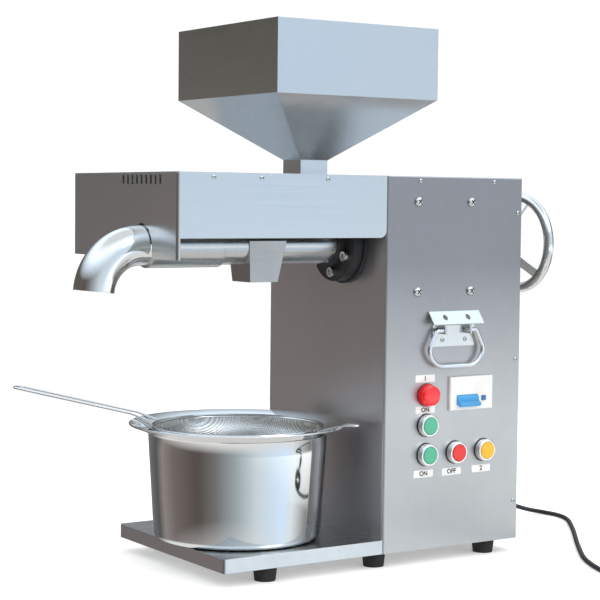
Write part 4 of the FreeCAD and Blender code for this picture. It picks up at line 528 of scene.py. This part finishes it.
def add_wheel(looks):
    reach = outer_radius() - WHEEL_RIM * MM
    centre = press_axis()
    centre.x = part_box("hand_wheel")[1].x - WHEEL_RIM * MM
    ring = [centre + Vector((0, math.cos(t), math.sin(t))) * reach
            for t in (2 * math.pi * i / 160 for i in range(160))]
    parts = [tube(ring, WHEEL_RIM, closed=True, steps=28)]
    hub = centre - Vector((WHEEL_DISH * MM, 0, 0))
    parts.append(lathe(hub, Vector((1, 0, 0)), WHEEL_HUB, 64))
    for i in range(3):
        turn = math.radians(FIRST_SPOKE + 120 * i)
        out = Vector((0, math.cos(turn), math.sin(turn)))
        parts.append(spoke(hub, centre, out, reach))
    vertices, faces = joined(parts)
    wear(link("hand_wheel_smooth", as_mesh("hand_wheel_smooth", vertices, faces),
              "press_screw_set", ["hand_wheel"]), looks["polished"])


def press_axis():
    """A point on the press axis, which is the middle line of the drive shaft."""
    low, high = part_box("drive_shaft")
    return Vector((0, (low.y + high.y) / 2, (low.z + high.z) / 2))


def outer_radius():
    low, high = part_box("hand_wheel")
    axis = press_axis()
    return max(high.y - axis.y, axis.y - low.y, high.z - axis.z, axis.z - low.z)


def spoke(hub, rim_centre, out, reach):
    """Flat spoke with rounded sides, from the hub's side out to the rim's middle line."""
    across = Vector((1, 0, 0)).cross(out)
    half_width, half_thick = 7.5, 3.5
    outline = []
    for i in range(20):
        turn = 2 * math.pi * i / 20
        c, s = math.cos(turn), math.sin(turn)
        outline.append((half_width * math.copysign(abs(c) ** 0.55, c),
                        half_thick * math.copysign(abs(s) ** 0.75, s)))
    vertices, faces = [], []
    stations = 9
    for k in range(stations):
        share = k / (stations - 1)
        near = hub + out * 9 * MM
        far = rim_centre + out * reach
        point = near.lerp(far, share)
        swell = 1.0 + 0.18 * (1 - share) ** 2
        for w, t in outline:
            vertices.append(point + (across * w * swell + Vector((1, 0, 0)) * t) * MM)
    for k in range(stations - 1):
        for i in range(20):
            j = (i + 1) % 20
            faces.append((k * 20 + i, k * 20 + j, (k + 1) * 20 + j, (k + 1) * 20 + i))
    faces += [tuple(range(20))[::-1], tuple(range((stations - 1) * 20, stations * 20))]
    return vertices, faces


ELBOW_RADIUS, ELBOW_WALL, ELBOW_BEND = 25.2, 1.8, 61.5
ELBOW_START = -311.5        # where the bend begins, from the machine's zero
ELBOW_TURN = 85.0           # degrees


def add_elbow(looks):
    """Smooth bent pipe with a wall, over the CAD's many-sided one."""
    axis = press_axis()
    start = Vector((ZERO.x + ELBOW_START * MM, axis.y, axis.z))
    line = [Vector((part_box("outlet_elbow")[1].x, axis.y, axis.z)), start]
    steps, sides = 44, 72
    for i in range(1, steps + 1):
        turn = math.radians(ELBOW_TURN * i / steps)
        line.append(start + Vector((-math.sin(turn), 0, math.cos(turn) - 1)) * ELBOW_BEND * MM)
    outside, outside_faces = tube(line, ELBOW_RADIUS, steps=sides)
    inside, inside_faces = tube(line, ELBOW_RADIUS - ELBOW_WALL, steps=sides)
    outside_faces, inside_faces = outside_faces[:-2], inside_faces[:-2]
    vertices = outside + inside
    base, last = len(outside), (len(line) - 1) * sides
    faces = list(outside_faces) + [tuple(i + base for i in face)[::-1] for face in inside_faces]
    for ring in (0, last):
        for k in range(sides):
            m = (k + 1) % sides
            quad = (ring + k, ring + m, base + ring + m, base + ring + k)
            faces.append(quad[::-1] if ring == 0 else quad)
    wear(link("outlet_elbow_smooth", as_mesh("outlet_elbow_smooth", vertices, faces, 50),
              "press_frame", ["outlet_elbow"]), looks["polished"])


def add_pot(looks):
    """Spun pot: the CAD's profile with rounded corners and a rolled brim edge."""
    low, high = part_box("collecting_pot")
    centre = Vector(((low.x + high.x) / 2, (low.y + high.y) / 2, low.z))
    height = (high.z - low.z) / MM
    brim = (high.x - low.x) / 2 / MM
    profile = [(0, 0), (0, 101.0), (0.8, 104.0), (2.6, 107.2), (5.2, 109.0), (8.0, 109.6),
               (60.0, 112.8), (120.0, 116.5), (137.0, 117.5), (138.6, 118.3), (140.0, 121.0),
               (height - 2.6, brim - 1.6), (height - 2.0, brim - 0.3), (height - 0.9, brim),
               (height - 0.1, brim - 0.5), (height, brim - 1.6), (141.8, 120.0),
               (140.6, 117.0), (138.4, 116.0), (60.0, 111.3), (9.0, 108.1), (5.8, 107.0),
               (3.4, 105.0), (1.9, 101.5), (1.5, 97.0), (1.5, 0)]
    vertices, faces = lathe(centre, UP, profile, 224)
    wear(link("collecting_pot_spun", as_mesh("collecting_pot_spun", vertices, faces, 40),
              "collecting_pot", ["collecting_pot"]), looks["mirror"])


STRAINER_RING = 112.5       # radius of the rim wire's middle line, in mm


def add_strainer(looks):
    low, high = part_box("strainer_bowl")
    centre = Vector(((low.x + high.x) / 2, (low.y + high.y) / 2, high.z))
    rim, depth = (high.x - low.x) / 2 / MM, (high.z - low.z) / MM
    profile = []
    for i in range(25):
        turn = math.pi / 2 * i / 24
        profile.append((-(depth - 0.5) * math.cos(turn), (rim - 0.3) * math.sin(turn)))
    vertices, faces = lathe(centre, UP, profile, 160)
    wear(link("strainer_cloth", as_mesh("strainer_cloth", vertices, faces, 60), "strainer",
              ["strainer_bowl"]), looks["cloth"])
    rim_line = [centre + Vector((math.cos(t), math.sin(t), 0)) * STRAINER_RING * MM
                for t in (2 * math.pi * i / 160 for i in range(160))]
    band = lathe(centre, UP, [(-4.5, 111.2), (4.0, 111.9), (4.0, 112.6), (-4.5, 112.2),
                              (-4.5, 111.2)], 160)
    parts = [tube(rim_line, 2.3, closed=True, steps=16), band]
    parts.append(arm(centre, 127.0, 20.0, 1.75, 328.9, 38.0))
    parts.append(arm(centre, 307.0, 13.0, 1.45, 166.0, 11.0))
    vertices, faces = joined(parts)
    wear(link("strainer_frame_wire", as_mesh("strainer_frame_wire", vertices, faces, 50),
              "strainer", ["strainer_frame"]), looks["polished"])


def arm(centre, azimuth, spacing, wire, reach, rise):
    """Loop of wire from the strainer's rim over the pot's brim."""
    turn = math.radians(azimuth)
    out, across = Vector((math.cos(turn), math.sin(turn), 0)), Vector((-math.sin(turn),
                                                                       math.cos(turn), 0))
    brim = (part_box("collecting_pot")[1].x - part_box("collecting_pot")[0].x) / 2 / MM
    slope = (7.0 + wire + 0.25) / (brim - STRAINER_RING)
    bend = brim + 7.0
    lift = slope * (bend - STRAINER_RING)

    def spot(away, side, above):
        return centre + (out * away + across * side * spacing / 2 + UP * above) * MM

    corners = [spot(STRAINER_RING, -1, 0), spot(bend, -1, lift), spot(reach, -1, rise),
               spot(reach, 1, rise), spot(bend, 1, lift), spot(STRAINER_RING, 1, 0)]
    return tube(bent_line(corners, [wire * 4, spacing * 0.45, spacing * 0.45, wire * 4]), wire,
                steps=14)


def add_bails(looks):
    for node in ("control_side_bail", "plain_side_bail"):
        low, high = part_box(node)
        x, y = (low.x + high.x) / 2, (low.y + high.y) / 2
        top = high.z - 3.0 * MM
        drop = (top - low.z) / MM - 3.0

        def spot(across, down):
            return Vector((x + across * MM, y, top - down * MM))

        corners = [spot(-18, 0), spot(-33, 0), spot(-44.5, 22), spot(-44.5, drop),
                   spot(44.5, drop), spot(44.5, 22), spot(33, 0), spot(18, 0)]
        vertices, faces = tube(bent_line(corners, [4.8, 12, 24, 24, 12, 4.8]), 2.95, steps=18)
        wear(link(node + "_wire", as_mesh(node + "_wire", vertices, faces, 50), node,
                  [node]), looks["chrome"])


def add_buttons(looks):
    out = Vector((0, -1, 0))
    for node, look in (("upper_green_button", "green_plastic"),
                       ("lower_green_button", "green_plastic"), ("red_button", "red_plastic"),
                       ("yellow_button", "yellow_plastic")):
        low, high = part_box(node)
        face = Vector(((low.x + high.x) / 2, low.y, (low.z + high.z) / 2))
        reach = (high.y - low.y) / MM
        profile = [(-reach, 0), (-reach, 4), (-6, 4), (-6, 11.4), (-1.6, 11.4), (-0.7, 11.0),
                   (-0.15, 10.0), (0, 8.6), (-0.35, 5.5), (-0.5, 0)]
        vertices, faces = lathe(face, out, profile, 72)
        wear(link(node + "_cap", as_mesh(node + "_cap", vertices, faces, 30), node,
                  [node]), looks[look])
    low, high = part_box("lamp_lens")
    base = Vector(((low.x + high.x) / 2, high.y, (low.z + high.z) / 2))
    tall = (high.y - low.y) / MM
    profile = [(0, 0), (0, 11.5), (1.2, 13.1), (2.4, 13.5), (tall - 2.6, 13.5),
               (tall - 1.2, 12.9), (tall - 0.4, 11.4), (tall, 8.5), (tall, 0)]
    vertices, faces = lathe(base, out, profile, 72)
    wear(link("lamp_lens_dome", as_mesh("lamp_lens_dome", vertices, faces, 30), "press_frame",
              ["lamp_lens"]), looks["lens"])


MILLED_DEPTH = 0.022        # share of the bezel's radius


def add_bezels(looks):
    """Chrome bezels with a fine milled edge, in front of the CAD's housings."""
    out = Vector((0, -1, 0))
    panel = cabinet_low.y
    parts = []
    for node in ("upper_green_button", "lower_green_button", "red_button", "yellow_button"):
        low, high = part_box(node)
        spot = Vector(((low.x + high.x) / 2, panel, (low.z + high.z) / 2))
        profile = [(1.3, 12.2), (1.3, 14.75), (8.2, 14.75), (9.2, 14.2), (9.65, 13.3),
                   (9.65, 12.5), (9.2, 11.9), (3.0, 11.85)]
        vertices, faces = lathe(spot, out, profile, 120)
        for ring in (1, 2):
            for i in range(ring * 120, ring * 120 + 120, 2):
                spoke_out = vertices[i] - spot
                vertices[i] = vertices[i] - Vector((spoke_out.x, 0, spoke_out.z)) * MILLED_DEPTH
        parts.append((vertices, faces))
    vertices, faces = joined(parts)
    wear(link("bezel_trim", as_mesh("bezel_trim", vertices, faces, 25), "press_frame"), looks["chrome"])


def cross_head(place, out, radius, height):
    """Domed screw head, and a thin cross over its top that stands for the cross recess."""
    dome = [(0, 0), (0, radius), (height * 0.35, radius * 0.99),
            (height * 0.75, radius * 0.8), (height * 0.97, radius * 0.5), (height, 0)]
    head = lathe(place, out, dome, 32)
    side, other = basis(out)
    arms = []
    for a, b in ((side, other), (other, side)):
        long, thin = radius * 0.55, radius * 0.11
        corners = []
        for lift in (height * 0.985, height * 1.02):
            for i, j in ((-1, -1), (1, -1), (1, 1), (-1, 1)):
                corners.append(place + (out * lift + a * i * long + b * j * thin) * MM)
        arms.append((corners, [(4, 5, 6, 7), (0, 1, 5, 4), (1, 2, 6, 5), (2, 3, 7, 6),
                               (3, 0, 4, 7)]))
    return head, joined(arms)


def solids_of(node):
    """Corner boxes of the separate solids in a CAD node."""
    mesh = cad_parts[node].data
    parent = list(range(len(mesh.vertices)))
    key = {}
    for v in mesh.vertices:
        spot = tuple(round(c, 6) for c in v.co)
        parent[v.index] = key.setdefault(spot, v.index)

    def root(i):
        while parent[i] != i:
            parent[i] = parent[parent[i]]
            i = parent[i]
        return i

    for edge in mesh.edges:
        a, b = root(edge.vertices[0]), root(edge.vertices[1])
        parent[max(a, b)] = min(a, b)
    groups = {}
    for v in mesh.vertices:
        groups.setdefault(root(v.index), []).append(v.co)
    boxes = []
    for points in groups.values():
        boxes.append((Vector([min(p[k] for p in points) for k in range(3)]),
                      Vector([max(p[k] for p in points) for k in range(3)])))
    return boxes


def add_screws(looks):
    """Cross-head screws over the CAD's plain ones."""
    for node, height, radius in (("panel_screws", 1.6, 3.2), ("gearbox_screws", 4.0, 6.6)):
        heads, slots = [], []
        for low, high in solids_of(node):
            side = -1 if (low.y + high.y) / 2 < ZERO.y else 1
            out = Vector((0, side, 0))
            face = low.y if side < 0 else high.y
            place = Vector(((low.x + high.x) / 2, face - side * height * MM,
                            (low.z + high.z) / 2))
            head, slot = cross_head(place, out, radius - 0.1, height - 0.05)
            heads.append(head)
            slots.append(slot)
        vertices, faces = joined(heads)
        wear(link(node + "_heads", as_mesh(node + "_heads", vertices, faces, 50), "press_frame",
                  [node]), looks["zinc"])
        # painted shade: the recess crosses are near-black solids on the heads, standing for the shade in
        # the recesses
        vertices, faces = joined(slots)
        wear(link(node + "_painted_recess_shades", as_mesh(node + "_painted_recess_shades", vertices, faces, 30),
                  "press_frame"), looks["painted_recess_shade"])


LABELS = (("1", 65.5, 226.8), ("ON", 66.3, 185.4), ("ON", 64.6, 100.9), ("OFF", 111.5, 100.7),
          ("2", 161.9, 101.1))


def add_labels(looks):
    """White label plates with plain generic words, stuck on the panel."""
    plates = []
    for text, x, z in LABELS:
        centre = at(x, 0, z)
        centre.y = cabinet_low.y
        plates.append(rounded_slab(centre, (16.0, 4.9), 0.8, -0.45, 0.42, bevel=0.15))
        words = bpy.data.curves.new("label_" + text, "FONT")
        words.body = text
        words.size = 0.0085
        words.align_x, words.align_y = "CENTER", "CENTER"
        words.extrude = 0.00003
        words.offset = 0.00028
        made = bpy.data.objects.new("label_words", words)
        made.matrix_world = Matrix.Translation(centre + Vector((0, -0.00049, 0))) @ Matrix.Rotation(
            math.radians(90), 4, "X")
        bpy.context.scene.collection.objects.link(made)
        bpy.context.view_layer.update()
        mesh = bpy.data.meshes.new_from_object(
            made.evaluated_get(bpy.context.evaluated_depsgraph_get()))
        mesh.transform(made.matrix_world)
        bpy.data.objects.remove(made)
        mesh.materials.clear()
        name = "label_%s_%d_%d" % (text, x, z)
        wear(link(name, mesh, "press_frame"), looks["print"])
    vertices, faces = joined(plates)
    wear(link("label_plates", as_mesh("label_plates", vertices, faces, 30), "press_frame"), looks["label"])


# ---- light and floor -------------------------------------------------------------------
def add_floor():
    """Round white floor; the white surroundings carry on past its edge."""
    centre = Vector((0.0, 0.0, 0.0))
    vertices = [centre] + [centre + Vector((math.cos(t), math.sin(t), 0)) * FLOOR_RADIUS
                           for t in (2 * math.pi * i / 96 for i in range(96))]
    faces = [(0, i + 1, (i + 1) % 96 + 1) for i in range(96)]
    mesh = bpy.data.meshes.new("floor")
    mesh.from_pydata([tuple(v) for v in vertices], [], faces)
    floor = bpy.data.objects.new("floor", mesh)
    bpy.context.scene.collection.objects.link(floor)
    n = Nodes("floor_white")
    n.put("Base Color", (0.93, 0.93, 0.93, 1.0))
    n.put("Roughness", 0.9)
    n.put("Specular IOR Level", 0.1)
    n.put("Emission Color", (1.0, 1.0, 1.0, 1.0))
    n.put("Emission Strength", 0.22)
    rays = n.add("ShaderNodeLightPath")
    clear = n.add("ShaderNodeBsdfTransparent")
    both = n.add("ShaderNodeMixShader", [(0, rays.outputs["Is Glossy Ray"]),
                                         (1, n.shader.outputs["BSDF"]),
                                         (2, clear.outputs["BSDF"])])
    n.tree.links.new(both.outputs["Shader"], n.tree.nodes["Material Output"].inputs["Surface"])
    floor.data.materials.append(n.material)


def add_light(name, place, target, width, height, power, colour):
    data = bpy.data.lights.new(name, "AREA")
    data.shape = "RECTANGLE"
    data.size, data.size_y = width, height
    data.energy = power
    data.color = colour
    lamp = bpy.data.objects.new(name, data)
    away = (Vector(place) - Vector(target)).normalized()
    lamp.matrix_world = Matrix.Translation(place) @ away.to_track_quat("Z", "Y").to_matrix().to_4x4()
    bpy.context.scene.collection.objects.link(lamp)
    return lamp


# Degrees round the machine, from +X towards +Y, and the colour that is reflected from there.
SURROUNDINGS = (
    (-180, (0.12, 0.10, 0.09)), (-172, (0.12, 0.10, 0.09)), (-150, (0.20, 0.20, 0.20)),
    (-123, (0.40, 0.46, 0.50)), (-95, (0.72, 0.82, 0.88)), (-57, (0.80, 1.00, 1.26)),
    (-42, (0.87, 0.95, 1.00)), (-20, (0.40, 0.40, 0.40)), (-4, (0.13, 0.13, 0.11)),
    (40, (0.30, 0.30, 0.28)), (90, (0.15, 0.15, 0.16)), (107, (0.11, 0.11, 0.12)),
    (123, (0.32, 0.28, 0.265)), (146, (0.20, 0.17, 0.166)), (180, (0.12, 0.10, 0.09)),
)
FLOOR_RADIUS = 1.7
DAYLIGHT = 1.08


def add_world():
    """Studio surroundings for reflections; plain white for what lights the part and is seen."""
    world = bpy.data.worlds.new("studio")
    world.use_nodes = True
    bpy.context.scene.world = world
    tree = world.node_tree
    tree.nodes.clear()

    def add(kind, **settings):
        node = tree.nodes.new(kind)
        for key, value in settings.items():
            setattr(node, key, value)
        return node

    def ranged(source, low, high):
        node = add("ShaderNodeMapRange")
        node.inputs["From Min"].default_value = low
        node.inputs["From Max"].default_value = high
        tree.links.new(source, node.inputs["Value"])
        return node.outputs["Result"]

    def mixed(fac, first, second):
        node = add("ShaderNodeMix", data_type="RGBA")
        tree.links.new(fac, node.inputs["Factor"])
        for index, value in ((6, first), (7, second)):
            if isinstance(value, bpy.types.NodeSocket):
                tree.links.new(value, node.inputs[index])
            else:
                node.inputs[index].default_value = (*value, 1.0)
        return node.outputs[2]

    direction = add("ShaderNodeTexCoord").outputs["Generated"]
    split = add("ShaderNodeSeparateXYZ")
    tree.links.new(direction, split.inputs["Vector"])
    turn = add("ShaderNodeMath", operation="ARCTAN2")
    tree.links.new(split.outputs["Y"], turn.inputs[0])
    tree.links.new(split.outputs["X"], turn.inputs[1])
    ramp = add("ShaderNodeValToRGB")
    tree.links.new(ranged(turn.outputs[0], -math.pi, math.pi), ramp.inputs["Fac"])
    elements = ramp.color_ramp.elements
    elements[0].color = (*SURROUNDINGS[0][1], 1.0)
    elements[1].color = (*SURROUNDINGS[-1][1], 1.0)
    for degrees, colour in SURROUNDINGS[1:-1]:
        elements.new(degrees / 360 + 0.5).color = (*colour, 1.0)

    def facing(x, y, low, high):
        node = add("ShaderNodeVectorMath", operation="DOT_PRODUCT")
        tree.links.new(direction, node.inputs[0])
        node.inputs[1].default_value = (x, y, 0.0)
        return ranged(node.outputs["Value"], low, high)

    def both(first, second):
        node = add("ShaderNodeMath", operation="MULTIPLY")
        tree.links.new(first, node.inputs[0])
        tree.links.new(second, node.inputs[1])
        return node.outputs[0]

    level = split.outputs["Z"]
    dark_side = both(facing(-0.549, 0.836, 0.5, 0.85), ranged(level, 0.01, 0.09))
    walls = mixed(dark_side, ramp.outputs["Color"], (0.12, 0.115, 0.095))
    low_band = both(ranged(level, -0.01, -0.17), ranged(level, -0.27, -0.20))
    bright_side = both(facing(0.549, -0.836, 0.3, 0.8), low_band)
    lifted = mixed(bright_side, walls, (1.55, 1.62, 1.66))
    ceiling = mixed(ranged(level, 0.30, 0.75), lifted, (1.35, 1.60, 1.90))
    zenith = mixed(ranged(level, 0.80, 0.95), ceiling, (0.85, 0.90, 0.95))
    ground = mixed(ranged(level, -0.35, -0.60), zenith, (0.9, 0.9, 0.9))
    rays = add("ShaderNodeLightPath")
    shown = mixed(rays.outputs["Is Glossy Ray"], (DAYLIGHT, DAYLIGHT, DAYLIGHT), ground)
    background = add("ShaderNodeBackground")
    tree.links.new(shown, background.inputs["Color"])
    output = add("ShaderNodeOutputWorld")
    tree.links.new(background.outputs["Background"], output.inputs["Surface"])


def add_lights():
    add_light("key", (0.9, -2.2, 2.2), (0.0, 0.0, 0.3), 1.4, 1.4, 14.0, (1.0, 0.98, 0.95))
    top = add_light("top", (0.0, 0.2, 2.8), (0.0, 0.0, 0.0), 2.4, 2.4, 22.0, (1.0, 1.0, 1.0))
    top.visible_glossy = False


def main():
    add_camera()
    cord = add_cord()
    looks = make_materials()
    dress_cad(looks)
    wear(cord, looks["cord_rubber"])
    add_wheel(looks)
    add_elbow(looks)
    add_pot(looks)
    add_strainer(looks)
    add_bails(looks)
    add_buttons(looks)
    add_bezels(looks)
    add_screws(looks)
    add_labels(looks)
    add_floor()
    add_world()
    add_lights()
    bpy.context.scene.view_settings.view_transform = "Standard"


main()
